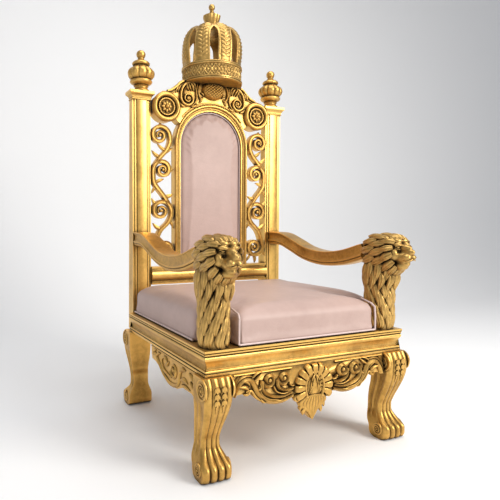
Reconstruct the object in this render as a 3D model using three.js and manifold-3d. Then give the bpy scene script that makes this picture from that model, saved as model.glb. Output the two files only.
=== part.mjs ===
// A tall carved and gilded ceremonial throne: scrolled legs, a seat frame with a shell apron,
// lion arm supports, a pierced scroll back with an arched pad, and an open crown on the crest.
// Millimetres. X runs to the sitter's left as seen from the front, Y to the back, Z up.

import * as THREE from 'three';
import { mergeVertices } from 'three/addons/utils/BufferGeometryUtils.js';
import Module from 'manifold-3d';

const wasm = await Module();
wasm.setup();

// ---------------------------------------------------------------- driving dimensions

const GAP = 0.3; // clearance between touching pieces

const SEAT = {
  railBottom: 323,
  railTop: 403,
  halfWidth: 406,
  depth: 742,
  railThickness: 58,
};

const LEG = {
  centreX: 366,
  kneeHalfWidth: 48,
  ankleHalfWidth: 33,
  footHalfWidth: 51,
  depth: 62,
  knee: 28,
  fluteDepth: 5,
  kneeEye: { y: 4, z: 286, radius: 30 },
  footEye: { y: 22, z: 31, radius: 19 },
  eyeProud: 3,
  front: { lobes: 4, toe: 21, ankle: 27, calf: 88, heel: 64, topReach: 14 },
  rear: { lobes: 2, toe: 38, ankle: 15, calf: 68, heel: 64, topReach: 24 },
  rearBackY: 770,
};

const POST = {
  centreX: 342,
  halfWidth: 42,
  frontY: 742,
  depthBottom: 72,
  depthTop: 46,
  top: 1339,
  capitalTop: 1368,
  capitalOverhang: 14,
};

const ARCH = {
  outerHalfWidth: 188,
  innerHalfWidth: 158,
  springing: 1153,
  bottom: 600,
  frontY: 731,
  backY: 775,
  steps: 16,
};

const BACK_RAIL = { bottom: 521, top: 600, frontY: 729, backY: 790 };

const CREST = { frontY: 735, backY: 790, top: 1428, spandrelBottom: 1236 };

const ROSETTE = { centreX: 232, centreZ: 1308, radius: 66, thickness: 26 };

const CROWN = {
  centreY: 745,
  bandRadius: 136,
  bandTop: 1506,
  wall: 8,
  straps: 8,
  strapHalfWidth: 31,
  strapThickness: 12,
  domeTop: 1706,
  top: 1800,
};

const ARM = { centreX: 349, halfWidth: 35, thickness: 60, frontY: 118 };

const LION = {
  centreX: 348,
  centreY: 55,
  columnRadius: 50,
  lockRows: 5,
  locksPerRow: 7,
  rowHeight: 52,
  lockProud: 11,
  headCentre: { y: -58, z: 286 },
  noseReach: 152,
  maneLocks: 9,
};

const CUSHION = {
  halfWidth: 386,
  frontY: 8,
  backY: 728,
  notchX: 284,
  notchY: 124,
  edgeTop: 496,
  crown: 542,
};

// ---------------------------------------------------------------- materials

const gold = () => new THREE.MeshStandardMaterial({ color: 0xc0933a, roughness: 0.36, metalness: 0.85 });
const plainGold = () => new THREE.MeshStandardMaterial({ color: 0x9a7230, roughness: 0.5, metalness: 0.7 });
const blush = () => new THREE.MeshStandardMaterial({ color: 0xcdb0a2, roughness: 0.5, metalness: 0 });
const board = () => new THREE.MeshStandardMaterial({ color: 0x8a6a45, roughness: 0.8, metalness: 0 });

// ---------------------------------------------------------------- shared geometry helpers

const V = (x, y, z) => new THREE.Vector3(x, y, z);
const degrees = THREE.MathUtils.degToRad;
const lerp = THREE.MathUtils.lerp;

function centroid(ring) {
  const sum = ring.reduce((total, point) => total.add(point), V(0, 0, 0));
  return sum.divideScalar(ring.length);
}

function signedVolume(positions, index) {
  const corner = (i) => V(positions[3 * i], positions[3 * i + 1], positions[3 * i + 2]);
  let volume = 0;
  for (let i = 0; i < index.length; i += 3) {
    volume += corner(index[i]).dot(corner(index[i + 1]).cross(corner(index[i + 2]))) / 6;
  }
  return volume;
}

// Triangles over a ring that is flat or nearly so, in the ring's own turning direction.
function flatCap(ring) {
  const middle = centroid(ring);
  const normal = V(0, 0, 0);
  ring.forEach((point, i) => {
    const next = ring[(i + 1) % ring.length];
    normal.add(point.clone().sub(middle).cross(next.clone().sub(middle)));
  });
  normal.normalize();
  const across = ring[0].clone().sub(middle).projectOnPlane(normal).normalize();
  const up = normal.clone().cross(across);
  const flat = ring.map((point) => new THREE.Vector2(point.dot(across), point.dot(up)));
  return THREE.ShapeUtils.triangulateShape(flat, []).map(([a, b, c]) =>
    THREE.ShapeUtils.area([flat[a], flat[b], flat[c]]) < 0 ? [a, c, b] : [a, b, c],
  );
}

// Skin over a row of equal rings, faces outward. An end closes flat, or by a fan to its apex.
function loft(rings, firstApex, lastApex) {
  const sides = rings[0].length;
  const points = rings.flat();
  const index = [];
  for (let row = 0; row + 1 < rings.length; row += 1) {
    for (let side = 0; side < sides; side += 1) {
      const next = (side + 1) % sides;
      const a = row * sides + side;
      const b = row * sides + next;
      index.push(a, b, b + sides, a, b + sides, a + sides);
    }
  }
  const close = (ring, start, apex, turn) => {
    const fan = () => {
      const tip = points.push(apex) - 1 - start;
      return ring.map((_, side) => [tip, side, (side + 1) % sides]);
    };
    const cap = apex ? fan() : flatCap(ring);
    cap.forEach(([a, b, c]) => index.push(start + a, start + (turn ? c : b), start + (turn ? b : c)));
  };
  close(rings[0], 0, firstApex, true);
  close(rings.at(-1), (rings.length - 1) * sides, lastApex, false);
  const positions = points.flatMap((point) => point.toArray());
  if (signedVolume(positions, index) < 0) {
    for (let i = 0; i < index.length; i += 3) [index[i], index[i + 1]] = [index[i + 1], index[i]];
  }
  const geometry = new THREE.BufferGeometry();
  geometry.setAttribute('position', new THREE.Float32BufferAttribute(positions, 3));
  geometry.setIndex(index);
  return geometry;
}

function toSolid(geometry) {
  const bare = geometry.clone();
  bare.deleteAttribute('normal');
  bare.deleteAttribute('uv');
  const merged = mergeVertices(bare, 1e-4);
  return new wasm.Manifold(
    new wasm.Mesh({
      numProp: 3,
      vertProperties: new Float32Array(merged.attributes.position.array),
      triVerts: new Uint32Array(merged.index.array),
    }),
  );
}

function fromSolid(solid) {
  const mesh = solid.getMesh();
  const geometry = new THREE.BufferGeometry();
  geometry.setAttribute('position', new THREE.BufferAttribute(mesh.vertProperties, 3));
  geometry.setIndex(new THREE.BufferAttribute(mesh.triVerts, 1));
  return geometry;
}

const join = (geometries) => fromSolid(geometries.map(toSolid).reduce((whole, part) => whole.add(part)));

const cut = (geometry, tools) =>
  fromSolid(tools.map(toSolid).reduce((whole, tool) => whole.subtract(tool), toSolid(geometry)));

// Prism over an outline of [x, z] points, between two Y planes.
function frontBoard(outline, frontY, backY) {
  const shape = new THREE.Shape(outline.map(([x, z]) => new THREE.Vector2(x, z)));
  const geometry = new THREE.ExtrudeGeometry(shape, { depth: backY - frontY, bevelEnabled: false });
  geometry.applyMatrix4(new THREE.Matrix4().makeBasis(V(1, 0, 0), V(0, 0, 1), V(0, -1, 0)));
  return geometry.translate(0, backY, 0);
}

const box = (x0, x1, y0, y1, z0, z1) =>
  new THREE.BoxGeometry(x1 - x0, y1 - y0, z1 - z0).translate((x0 + x1) / 2, (y0 + y1) / 2, (z0 + z1) / 2);

// Solid of revolution about a vertical axis through (x, y), from [radius, z] points on the axis.
function turned(profile, sides, x = 0, y = 0) {
  const points = profile.map(([radius, z]) => new THREE.Vector2(radius, z));
  return new THREE.LatheGeometry(points, sides).rotateX(Math.PI / 2).translate(x, y, 0);
}

const ellipsoid = (centre, radii, across = 8, up = 6) =>
  new THREE.SphereGeometry(1, across, up).rotateX(Math.PI / 2).scale(...radii).translate(...centre);

const mirroredX = (geometry) => {
  const copy = geometry.index ? geometry.toNonIndexed() : geometry.clone();
  const flat = copy.attributes.position.array;
  for (let i = 0; i < flat.length; i += 9) {
    for (let k = 0; k < 3; k += 1) [flat[i + 3 + k], flat[i + 6 + k]] = [flat[i + 6 + k], flat[i + 3 + k]];
  }
  copy.scale(-1, 1, 1);
  return mergeVertices(new THREE.BufferGeometry().setAttribute('position', copy.attributes.position), 1e-4);
};

// Points of a spiral in the X-Z plane that winds out of its eye and ends at endAngle.
function spiral({ centre, radius, shrink, endAngle, turns, clockwise, steps }) {
  const direction = clockwise ? -1 : 1;
  return Array.from({ length: steps + 1 }, (_, i) => {
    const left = (1 - i / steps) * turns;
    const angle = degrees(endAngle) - direction * left * Math.PI * 2;
    const r = radius * shrink ** left;
    return [centre[0] + r * Math.cos(angle), centre[1] + r * Math.sin(angle)];
  });
}

// A smooth run through a few [x, z] points.
function smooth(points, steps) {
  const curve = new THREE.CatmullRomCurve3(points.map(([x, z]) => V(x, 0, z)), false, 'centripetal');
  return curve.getSpacedPoints(steps).map((point) => [point.x, point.z]);
}

// A carved stem that lies in the X-Z plane: wide behind, narrower in front.
function stem(path, halfWidth, { backY, frontY }) {
  const last = path.length - 1;
  const rings = path.map(([x, z], i) => {
    const [x0, z0] = path[Math.max(0, i - 1)];
    const [x1, z1] = path[Math.min(last, i + 1)];
    const length = Math.hypot(x1 - x0, z1 - z0);
    const across = [-(z1 - z0) / length, (x1 - x0) / length];
    const w = halfWidth(i / last);
    const at = (k, y) => V(x + across[0] * w * k, y, z + across[1] * w * k);
    return [at(-1, backY), at(-0.5, frontY), at(0.5, frontY), at(1, backY)];
  });
  return loft(rings);
}

// A pointed leaf or lobe from base to tip, with a raised middle; normal points out of the work.
function leaf(base, tip, normal, halfWidth, height, depth) {
  const along = tip.clone().sub(base);
  const side = along.clone().cross(normal).normalize();
  const at = (t, k, lift) =>
    base.clone().addScaledVector(along, t).addScaledVector(side, k * halfWidth).addScaledVector(normal, lift);
  const ring = (t, spread, lift) => [at(t, -spread, -depth), at(t, 0, lift), at(t, spread, -depth)];
  const rings = [ring(0, 0.6, height * 0.5), ring(0.6, 1, height)];
  return loft(rings, undefined, at(1, 0, -depth * 0.4));
}

// ---------------------------------------------------------------- seat frame

// [distance out from the seat centre line, z]; the moulded outer face of the rails.
function railProfile() {
  const top = SEAT.railTop;
  const bottom = SEAT.railBottom;
  const out = SEAT.halfWidth;
  return [
    [out - 4, bottom],
    [out - 4, bottom + 8],
    [out - 10, bottom + 10],
    [out - 6, bottom + 17],
    [out - 13, bottom + 20],
    [out - 14, bottom + 27],
    [out - 8, bottom + 42],
    [out - 2, bottom + 52],
    [out - 3, bottom + 60],
    [out - 9, bottom + 63],
    [out - 2, bottom + 68],
    [out - 6, bottom + 72],
    [out, bottom + 74],
    [out, top],
    [out - SEAT.railThickness, top],
    [out - SEAT.railThickness, bottom],
  ];
}

const frontY = (out) => SEAT.halfWidth - out; // the same profile turned to the front

function frontRail() {
  const end = (sign) => railProfile().map(([out, z]) => V(sign * (out - GAP), frontY(out), z));
  return loft([end(-1), end(1)]);
}

function sideRail() {
  const front = railProfile().map(([out, z]) => V(out, frontY(out) + GAP, z));
  const rear = railProfile().map(([out, z]) => V(out, SEAT.depth - GAP, z));
  return loft([front, rear]);
}

const rearRail = () => {
  const reach = POST.centreX - POST.halfWidth - GAP;
  return box(-reach, reach, SEAT.depth + 6, SEAT.depth + 52, SEAT.railBottom + 4, SEAT.railTop);
};

const seatBoard = () => {
  const reach = SEAT.halfWidth - SEAT.railThickness - GAP;
  return box(-reach, reach, SEAT.railThickness + GAP, SEAT.depth - GAP, SEAT.railTop - 14, SEAT.railTop - 2);
};

// ---------------------------------------------------------------- legs

// Side outline [reach back, z] of a leg whose front faces minus Y.
function legOutline({ toe, ankle, calf, heel, topReach }) {
  const top = SEAT.railBottom - GAP;
  const { depth, knee } = LEG;
  const plain = [
    [depth, top],
    [depth, 235],
    [calf - 6, 160],
    [calf, 105],
    [heel, 40],
    [heel - 20, 0],
    [4 - toe / 2, 0],
  ];
  const fluted = [
    [1 - toe, 14],
    [-toe, 38],
    [(ankle - toe) / 2 - 2, 64],
    [ankle, 96],
    [ankle - 3, 126],
    [-4, 190],
    [5 - knee, 238],
    [-knee, 284],
    [-topReach, top],
  ];
  return [...plain.map(([y, z]) => ({ y, z, flute: 0 })), ...fluted.map(([y, z]) => ({ y, z, flute: LEG.fluteDepth }))];
}

// Half width at a height: broad knee, slim ankle, broad foot.
function legHalfWidth(z) {
  const { smoothstep } = THREE.MathUtils;
  const knee = (LEG.kneeHalfWidth - LEG.ankleHalfWidth) * smoothstep(z, 120, 265);
  const foot = (LEG.footHalfWidth - LEG.ankleHalfWidth) * (1 - smoothstep(z, 42, 104));
  return LEG.ankleHalfWidth + knee + foot;
}

function leg(kind) {
  const outline = legOutline(kind);
  const stations = 2 * kind.lobes;
  const at = (i) => lerp(-1, 1, i / stations);
  const rings = Array.from({ length: stations + 1 }, (_, i) =>
    outline.map(({ y, z, flute }) => V(at(i) * legHalfWidth(z), y + (i % 2 === 0 ? flute : 0), z)),
  );
  const heart = [(kind.ankle + kind.calf) / 2, 118];
  const side = (sign) => V(sign * legHalfWidth(heart[1]), ...heart);
  const eye = ({ y, z, radius }) => {
    const length = 2 * (legHalfWidth(z) + LEG.eyeProud);
    return new THREE.CylinderGeometry(radius, radius, length, 7).rotateZ(Math.PI / 2).translate(0, y, z);
  };
  return join([loft(rings, side(-1), side(1)), eye(LEG.kneeEye), eye(LEG.footEye)]);
}

// ---------------------------------------------------------------- aprons

const APRON = { boardFrontY: 4, backY: 30, top: SEAT.railBottom - GAP, ridgeWidth: 8 };

// A rolled scroll that hangs from the rail and sweeps down to its tail.
function hangingScroll(centreX, radius, tail) {
  const curl = spiral({
    centre: [centreX, APRON.top - radius - 6],
    radius,
    shrink: 0.4,
    endAngle: 0,
    turns: 0.9,
    clockwise: true,
    steps: 6,
  });
  const [startX, startZ] = curl.at(-1);
  const sweep = smooth([[startX, startZ], [lerp(startX, tail[0], 0.35), tail[1] + 14], tail], 3);
  return [...curl, ...sweep.slice(1)];
}

// One half of the front apron, from the leg to the shell.
function apronScrolls() {
  const levels = { backY: 26, frontY: -14 };
  const reach = LEG.centreX - LEG.kneeHalfWidth - LEG.eyeProud - GAP;
  const wing = [
    [reach, APRON.top],
    [reach, 250],
    [reach - 12, 250],
    [reach - 24, 264],
    [reach - 44, 270],
    [245, 252],
    [205, 222],
    [165, 209],
    [110, 214],
    [50, 222],
    [50, 256],
    [110, 240],
    [150, 250],
    [196, 290],
    [206, APRON.top],
  ];
  const outer = smooth([[298, 262], [284, 296], [260, 303], [238, 282], [212, 240], [166, 218], [84, 224]], 7);
  const width = APRON.ridgeWidth;
  return [
    frontBoard(wing, APRON.boardFrontY, APRON.backY),
    stem(outer, () => width, levels),
    stem(hangingScroll(196, 24, [88, 236]), (t) => lerp(0.7, 1, t) * width, levels),
    stem(hangingScroll(136, 23, [62, 256]), (t) => lerp(0.7, 1, t) * width, levels),
  ];
}

const SHELL = {
  centre: [0, 247],
  rayLength: 75,
  sideLength: 74,
  tipLength: 118,
  rays: 12,
  backY: 26,
  coreY: 6,
  ridgeY: -1,
  frontY: -8,
};

// A scalloped shell: lobes all round, longest towards the pointed tip below.
function shell() {
  const { centre, rays, backY, coreY, ridgeY } = SHELL;
  const rim = (scale, grooveScale, crestY, grooveY) =>
    Array.from({ length: 2 * rays }, (_, i) => {
      const angle = -Math.PI / 2 + (i / rays) * Math.PI;
      const downward = Math.max(0, -Math.sin(angle)) ** 6;
      const upward = Math.max(0, Math.sin(angle)) ** 2;
      const side = lerp(SHELL.sideLength, SHELL.rayLength, upward);
      const reach = lerp(side, SHELL.tipLength, downward);
      const crest = i % 2 === 0;
      const r = reach * (crest ? scale : grooveScale);
      return V(centre[0] + r * Math.cos(angle), crest ? crestY : grooveY, centre[1] + r * Math.sin(angle));
    });
  const fan = loft(
    [rim(0.85, 0.85, backY, backY), rim(1, 0.86, coreY, coreY + 6), rim(0.55, 0.5, ridgeY, coreY)],
    V(centre[0], backY, centre[1]),
    V(centre[0], ridgeY, centre[1]),
  );
  const core = frontBoard([[-56, 300], [-60, 225], [0, 165], [60, 225], [56, 300]], 12, APRON.backY);
  const hood = smooth([[-26, 215], [-34, 256], [-24, 284], [0, 296], [24, 284], [34, 256], [26, 215]], 6);
  const balls = [-1, 1].map((sign) => ellipsoid([sign * 69, 16, 216], [17, 13, 17], 6, 4));
  return [core, fan, stem(hood, () => 9, { backY: 10, frontY: SHELL.frontY }), ...balls];
}

function frontApron() {
  const half = apronScrolls();
  const body = join([...half, ...half.map(mirroredX), ...shell()]);
  const headroom = 60;
  const reach = SEAT.halfWidth;
  // everything behind the rail's front face stays under the rail
  return cut(body, [box(-reach, reach, -GAP, SEAT.depth, APRON.top, APRON.top + headroom)]);
}

// Asymmetrical scroll bracket behind each front leg, under the side rail. It is drawn facing
// the front, with X as the distance back from the seat front, then turned to face sideways.
function sideApron() {
  const top = APRON.top;
  const start = LEG.depth + GAP;
  const outline = [
    [start, top],
    [start, 238],
    [start + 28, 228],
    [start + 55, 238],
    [190, 236],
    [235, 218],
    [290, 211],
    [350, 224],
    [400, 250],
    [440, 262],
    [480, 266],
    [490, 296],
    [490, top],
  ];
  const levels = { backY: 10, frontY: -12 };
  const band = smooth([[474, 288], [440, 294], [396, 262], [340, 232], [280, 221], [222, 240], [200, 290]], 9);
  const curl = spiral({
    centre: [262, 278],
    radius: 32,
    shrink: 0.4,
    endAngle: -20,
    turns: 1,
    clockwise: false,
    steps: 8,
  });
  const hook = smooth([[352, 302], [374, 286], [358, 260], [316, 248], [272, 247]], 5);
  const body = join([
    frontBoard(outline, -4, 26),
    stem(band, () => APRON.ridgeWidth, levels),
    stem(curl, (t) => lerp(5, 8, t), levels),
    stem(hook, () => 6, levels),
  ]);
  const sideways = new THREE.Matrix4().makeBasis(V(0, 1, 0), V(-1, 0, 0), V(0, 0, 1));
  return body.applyMatrix4(sideways).translate(SEAT.halfWidth - 16, 0, 0);
}

// ---------------------------------------------------------------- posts, capitals and finials

function post() {
  const w = POST.halfWidth;
  const steps = [
    [-w, 6],
    [-w + 8, 6],
    [-w + 9, 3],
    [-w + 18, 3],
    [-w + 20, 0],
    [w - 20, 0],
    [w - 18, 3],
    [w - 9, 3],
    [w - 8, 6],
    [w, 6],
  ];
  const level = (z, depth) => [
    ...steps.map(([x, y]) => V(POST.centreX + x, POST.frontY + y, z)),
    V(POST.centreX + w, POST.frontY + depth, z),
    V(POST.centreX - w, POST.frontY + depth, z),
  ];
  const shaft = loft([level(SEAT.railBottom, POST.depthBottom), level(POST.top + 1, POST.depthTop)]);
  const square = (grow, z) => {
    const x0 = POST.centreX - w - grow;
    const x1 = POST.centreX + w + grow;
    const y0 = POST.frontY - grow;
    const y1 = POST.frontY + POST.depthTop + grow;
    return [V(x0, y0, z), V(x1, y0, z), V(x1, y1, z), V(x0, y1, z)];
  };
  const over = POST.capitalOverhang;
  const capital = loft([
    square(0.5, POST.top - 6),
    square(3, POST.top),
    square(6, POST.top + 8),
    square(over, POST.top + 18),
    square(over, POST.capitalTop),
  ]);
  return join([shaft, capital]);
}

const FINIAL = { centreX: 337, base: POST.capitalTop + GAP, lobes: 8, bulbRadius: 60, bulbZ: 1449 };

function finial() {
  const x = FINIAL.centreX;
  const y = POST.frontY + POST.depthTop / 2;
  const lower = [[0, FINIAL.base], [37, FINIAL.base], [28, 1388], [33, 1400], [48, 1412], [40, 1425], [0, 1425]];
  const upper = [[0, 1470], [30, 1472], [39, 1487], [14, 1509], [13, 1515], [20, 1533], [0, 1549]];
  const levels = [[34, 1421], [FINIAL.bulbRadius - 5, 1434], [FINIAL.bulbRadius, FINIAL.bulbZ], [30, 1476]];
  const bulb = levels.map(([radius, z]) =>
    Array.from({ length: 2 * FINIAL.lobes }, (_, i) => {
      const angle = (i / FINIAL.lobes) * Math.PI;
      const r = i % 2 === 0 ? radius : radius * 0.88;
      return V(x + r * Math.cos(angle), y + r * Math.sin(angle), z);
    }),
  );
  return join([turned(lower, 8, x, y), loft(bulb), turned(upper, 8, x, y)]);
}

// ---------------------------------------------------------------- back

// [x, z] outline of the arch at a given half width, from its right foot over to its left foot.
function archPath(halfWidth, bottom) {
  const arc = Array.from({ length: ARCH.steps + 1 }, (_, i) => {
    const angle = (i / ARCH.steps) * Math.PI;
    return [halfWidth * Math.cos(angle), ARCH.springing + halfWidth * Math.sin(angle)];
  });
  return [[halfWidth, bottom], ...arc, [-halfWidth, bottom]];
}

function archFrame() {
  const width = ARCH.outerHalfWidth - ARCH.innerHalfWidth;
  const section = [
    [0, ARCH.backY],
    [0, ARCH.frontY + 10],
    [6, ARCH.frontY],
    [13, ARCH.frontY + 2],
    [19, ARCH.frontY + 9],
    [width, ARCH.frontY + 12],
    [width, ARCH.backY],
  ];
  const rails = section.map(([inset, y]) =>
    archPath(ARCH.outerHalfWidth - inset, ARCH.bottom + GAP).map(([x, z]) => V(x, y, z)),
  );
  const rings = rails[0].map((_, i) => rails.map((rail) => rail[i]));
  return loft(rings);
}

function pad() {
  const half = ARCH.innerHalfWidth - GAP;
  const level = (inset, y) =>
    archPath(half - inset, ARCH.bottom + 2 * GAP + inset).map(([x, z]) => V(x, y, z));
  const apex = V(0, 741, 930);
  return loft([level(0, ARCH.backY - GAP), level(0, 752), level(10, 744)], undefined, apex);
}

const rearPanel = () =>
  frontBoard(archPath(ARCH.outerHalfWidth - 1, ARCH.bottom + GAP), ARCH.backY + GAP, ARCH.backY + 10);

function backBottomRail() {
  const { bottom, top, frontY: front, backY } = BACK_RAIL;
  const reach = POST.centreX - POST.halfWidth - GAP;
  const profile = [
    [backY, bottom],
    [front + 8, bottom],
    [front + 8, bottom + 10],
    [front + 13, bottom + 15],
    [front + 4, bottom + 22],
    [front, bottom + 34],
    [front, bottom + 46],
    [front + 4, bottom + 58],
    [front + 13, bottom + 65],
    [front + 8, bottom + 69],
    [front + 8, top],
    [backY, top],
  ];
  return loft([-reach, reach].map((x) => profile.map(([y, z]) => V(x, y, z))));
}

// ---------------------------------------------------------------- pierced scroll panels

// Vine of four volutes between arch frame and post, drawn for the side where X is positive.
const VINE = {
  volutes: [
    { centre: [257, 1184], radius: 49, endAngle: 180, clockwise: false },
    { centre: [243, 1033], radius: 46, endAngle: 0, clockwise: true },
    { centre: [252, 850], radius: 51, endAngle: 180, clockwise: false },
    { centre: [236, 682], radius: 50, endAngle: 0, clockwise: false },
  ],
  backY: 772,
  frontY: 745,
  halfWidth: 8.5,
};

// Small leaves that tie the vine to its neighbours: [base, tip] in X and Z.
const VINE_LEAVES = [
  [[252, 1220], [256, 1240]],
  [[226, 1118], [272, 1148]],
  [[254, 1084], [298, 1112]],
  [[218, 1034], [190, 1038]],
  [[282, 968], [238, 992]],
  [[238, 914], [192, 924]],
  [[274, 874], [298, 908]],
  [[248, 764], [292, 796]],
  [[278, 664], [298, 636]],
  [[236, 642], [238, 601]],
];

function scrollPanel() {
  const { volutes, backY, frontY: face, halfWidth } = VINE;
  const levels = { backY, frontY: face };
  const curl = (volute) => spiral({ ...volute, shrink: 0.42, turns: 1.45, steps: 9 });
  const grow = (t) => lerp(0.5, 1, Math.min(1, 2 * t)) * halfWidth;
  const run = (points) => smooth(points, 4).slice(1);
  const upper = [...curl(volutes[0]), ...run([[208, 1184], [222, 1125], [258, 1084], [286, 1040]])];
  const middle = [...curl(volutes[1]), ...run([[289, 1033], [284, 975], [238, 915], [206, 868]])];
  const lastCurl = curl(volutes[3]).reverse();
  const lower = [...curl(volutes[2]), ...run([[201, 850], [218, 800], [258, 758], lastCurl[0]]), ...lastCurl.slice(1)];
  const eyes = volutes.map(({ centre: [x, z] }) => leaf(V(x, face, z - 12), V(x, face, z + 12), V(0, -1, 0), 11, 4, 26));
  const leaves = VINE_LEAVES.map(([[x0, z0], [x1, z1]]) =>
    leaf(V(x0, face + 4, z0), V(x1, face + 4, z1), V(0, -1, 0), 9, 5, 22),
  );
  const taper = (t) => grow(Math.min(t, 1 - t));
  return join([stem(upper, grow, levels), stem(middle, grow, levels), stem(lower, taper, levels), ...eyes, ...leaves]);
}

// ---------------------------------------------------------------- crest and rosettes

function crestOutline() {
  const beside = CROWN.bandRadius + 8;
  const shoulder = [
    [beside, CREST.top - GAP],
    [beside + 3, 1437],
    [160, 1431],
    [189, 1405],
    [223, 1382],
    [252, 1376],
    [282, 1350],
  ];
  const behindRosette = ROSETTE.radius - 6;
  const around = Array.from({ length: 6 }, (_, i) => {
    const angle = degrees(lerp(20, -135, i / 5));
    return [ROSETTE.centreX + behindRosette * Math.cos(angle), ROSETTE.centreZ + behindRosette * Math.sin(angle)];
  });
  const clear = ARCH.outerHalfWidth + GAP;
  const arch = archPath(clear, ARCH.bottom)
    .slice(1, 1 + ARCH.steps / 2 + 1)
    .filter(([, z]) => z > CREST.spandrelBottom);
  const half = [...shoulder, ...around, ...arch];
  const other = half.slice(0, -1).reverse().map(([x, z]) => [-x, z]);
  return [...half, ...other];
}

function crestCarving() {
  const levels = { backY: 740, frontY: 718 };
  const volute = spiral({
    centre: [134, 1345],
    radius: 30,
    shrink: 0.45,
    endAngle: 0,
    turns: 1.3,
    clockwise: false,
    steps: 10,
  });
  const outer = [...volute, ...smooth([[164, 1345], [162, 1386], [140, 1420]], 3).slice(1)];
  const inner = smooth([[88, 1428], [91, 1392], [84, 1356], [66, 1346]], 4);
  const leaves = [
    [[140, 1376], [114, 1424], 13],
    [[112, 1380], [99, 1426], 11],
    [[172, 1352], [196, 1388], 10],
    [[114, 1322], [88, 1338], 9],
  ].map(([[x0, z0], [x1, z1], w]) => leaf(V(x0, 728, z0), V(x1, 726, z1), V(0, -1, 0), w, 8, 12));
  return [stem(outer, (t) => lerp(4.5, 7, t), levels), stem(inner, () => 6, levels), ...leaves];
}

function crest() {
  const half = crestCarving();
  const boss = ellipsoid([0, 738, 1402], [54, 42, 42], 10, 6);
  const body = join([frontBoard(crestOutline(), CREST.frontY, CREST.backY), ...half, ...half.map(mirroredX), boss]);
  const r = CROWN.bandRadius + 7;
  const above = box(-r, r, CREST.frontY - r, CREST.frontY + r, CREST.top - GAP, CREST.top + r);
  return cut(body, [above]);
}

function rosette() {
  const profile = [
    [0, 0],
    [63, 0],
    [ROSETTE.radius, 8],
    [60, 20],
    [52, 22],
    [44, 11],
    [34, 15],
    [25, 6],
    [13, 12],
    [0, ROSETTE.thickness],
  ];
  const body = new THREE.LatheGeometry(profile.map(([r, h]) => new THREE.Vector2(r, h)), 14);
  return body.rotateX(Math.PI).translate(ROSETTE.centreX, CREST.frontY - GAP, ROSETTE.centreZ);
}

// ---------------------------------------------------------------- crown

function crown() {
  const base = CREST.top;
  const { bandRadius: r, bandTop, wall, strapThickness, straps: count } = CROWN;
  const band = turned(
    [
      [0, base],
      [r + 4, base],
      [r + 5, base + 10],
      [r, base + 16],
      [r + 4, bandTop - 12],
      [r, bandTop],
      [r - wall, bandTop],
      [r - wall, base + wall],
      [0, base + wall],
    ],
    2 * count,
  );
  const side = new THREE.CatmullRomCurve3([
    V(r, 0, bandTop - 6),
    V(r + 5, 0, 1556),
    V(r + 6, 0, 1606),
    V(r - 2, 0, 1652),
    V(112, 0, 1684),
    V(66, 0, 1697),
  ]);
  const stations = 5;
  const rings = Array.from({ length: stations + 1 }, (_, i) => {
    const point = side.getPointAt(i / stations);
    const tangent = side.getTangentAt(i / stations);
    const inner = point.clone().addScaledVector(V(-tangent.z, 0, tangent.x), strapThickness);
    const w = Math.min(CROWN.strapHalfWidth, point.x * Math.tan(Math.PI / count) - 1);
    return [V(point.x, -w, point.z), V(point.x, w, point.z), V(inner.x, w * 0.94, inner.z), V(inner.x, -w * 0.94, inner.z)];
  });
  const strap = loft(rings);
  const straps = Array.from({ length: count }, (_, i) =>
    strap.clone().rotateZ(Math.PI / 2 + (i / count) * Math.PI * 2),
  );
  const cap = turned([[0, 1680], [76, 1682], [80, 1696], [58, 1703], [36, CROWN.domeTop], [0, CROWN.domeTop]], 2 * count);
  const cup = turned([[0, 1700], [35, 1703], [32, 1714], [37, 1740], [41, 1760], [0, 1764]], count);
  const orb = turned([[0, 1758], [9, 1764], [9, 1772], [13.5, 1779], [13.5, 1792], [0, CROWN.top]], count);
  return join([band, ...straps, cap, cup, orb]).translate(0, CROWN.centreY, 0);
}

// ---------------------------------------------------------------- arms

function arm() {
  const path = new THREE.CatmullRomCurve3(
    [
      V(0, POST.frontY - GAP, 725),
      V(0, 650, 720),
      V(0, 560, 692),
      V(0, 470, 661),
      V(0, 351, 645),
      V(0, 230, 655),
      V(0, ARM.frontY, 684),
    ],
    false,
    'centripetal',
  );
  const w = ARM.halfWidth;
  const h = ARM.thickness / 2;
  const half = [[w - 4, h], [w, h - 5], [w - 5, -h + 26], [w, -h + 20], [w - 8, -h]];
  const section = [...half, ...[...half].reverse().map(([x, lift]) => [-x, lift])];
  const stations = 10;
  const rings = Array.from({ length: stations + 1 }, (_, i) => {
    const at = path.getPointAt(i / stations);
    const tangent = path.getTangentAt(i / stations);
    const up = i === 0 || i === stations ? V(0, 0, 1) : V(0, tangent.z, -tangent.y);
    return section.map(([x, lift]) => at.clone().addScaledVector(up, lift).setX(ARM.centreX + x));
  });
  return loft(rings);
}

// ---------------------------------------------------------------- lions

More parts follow.
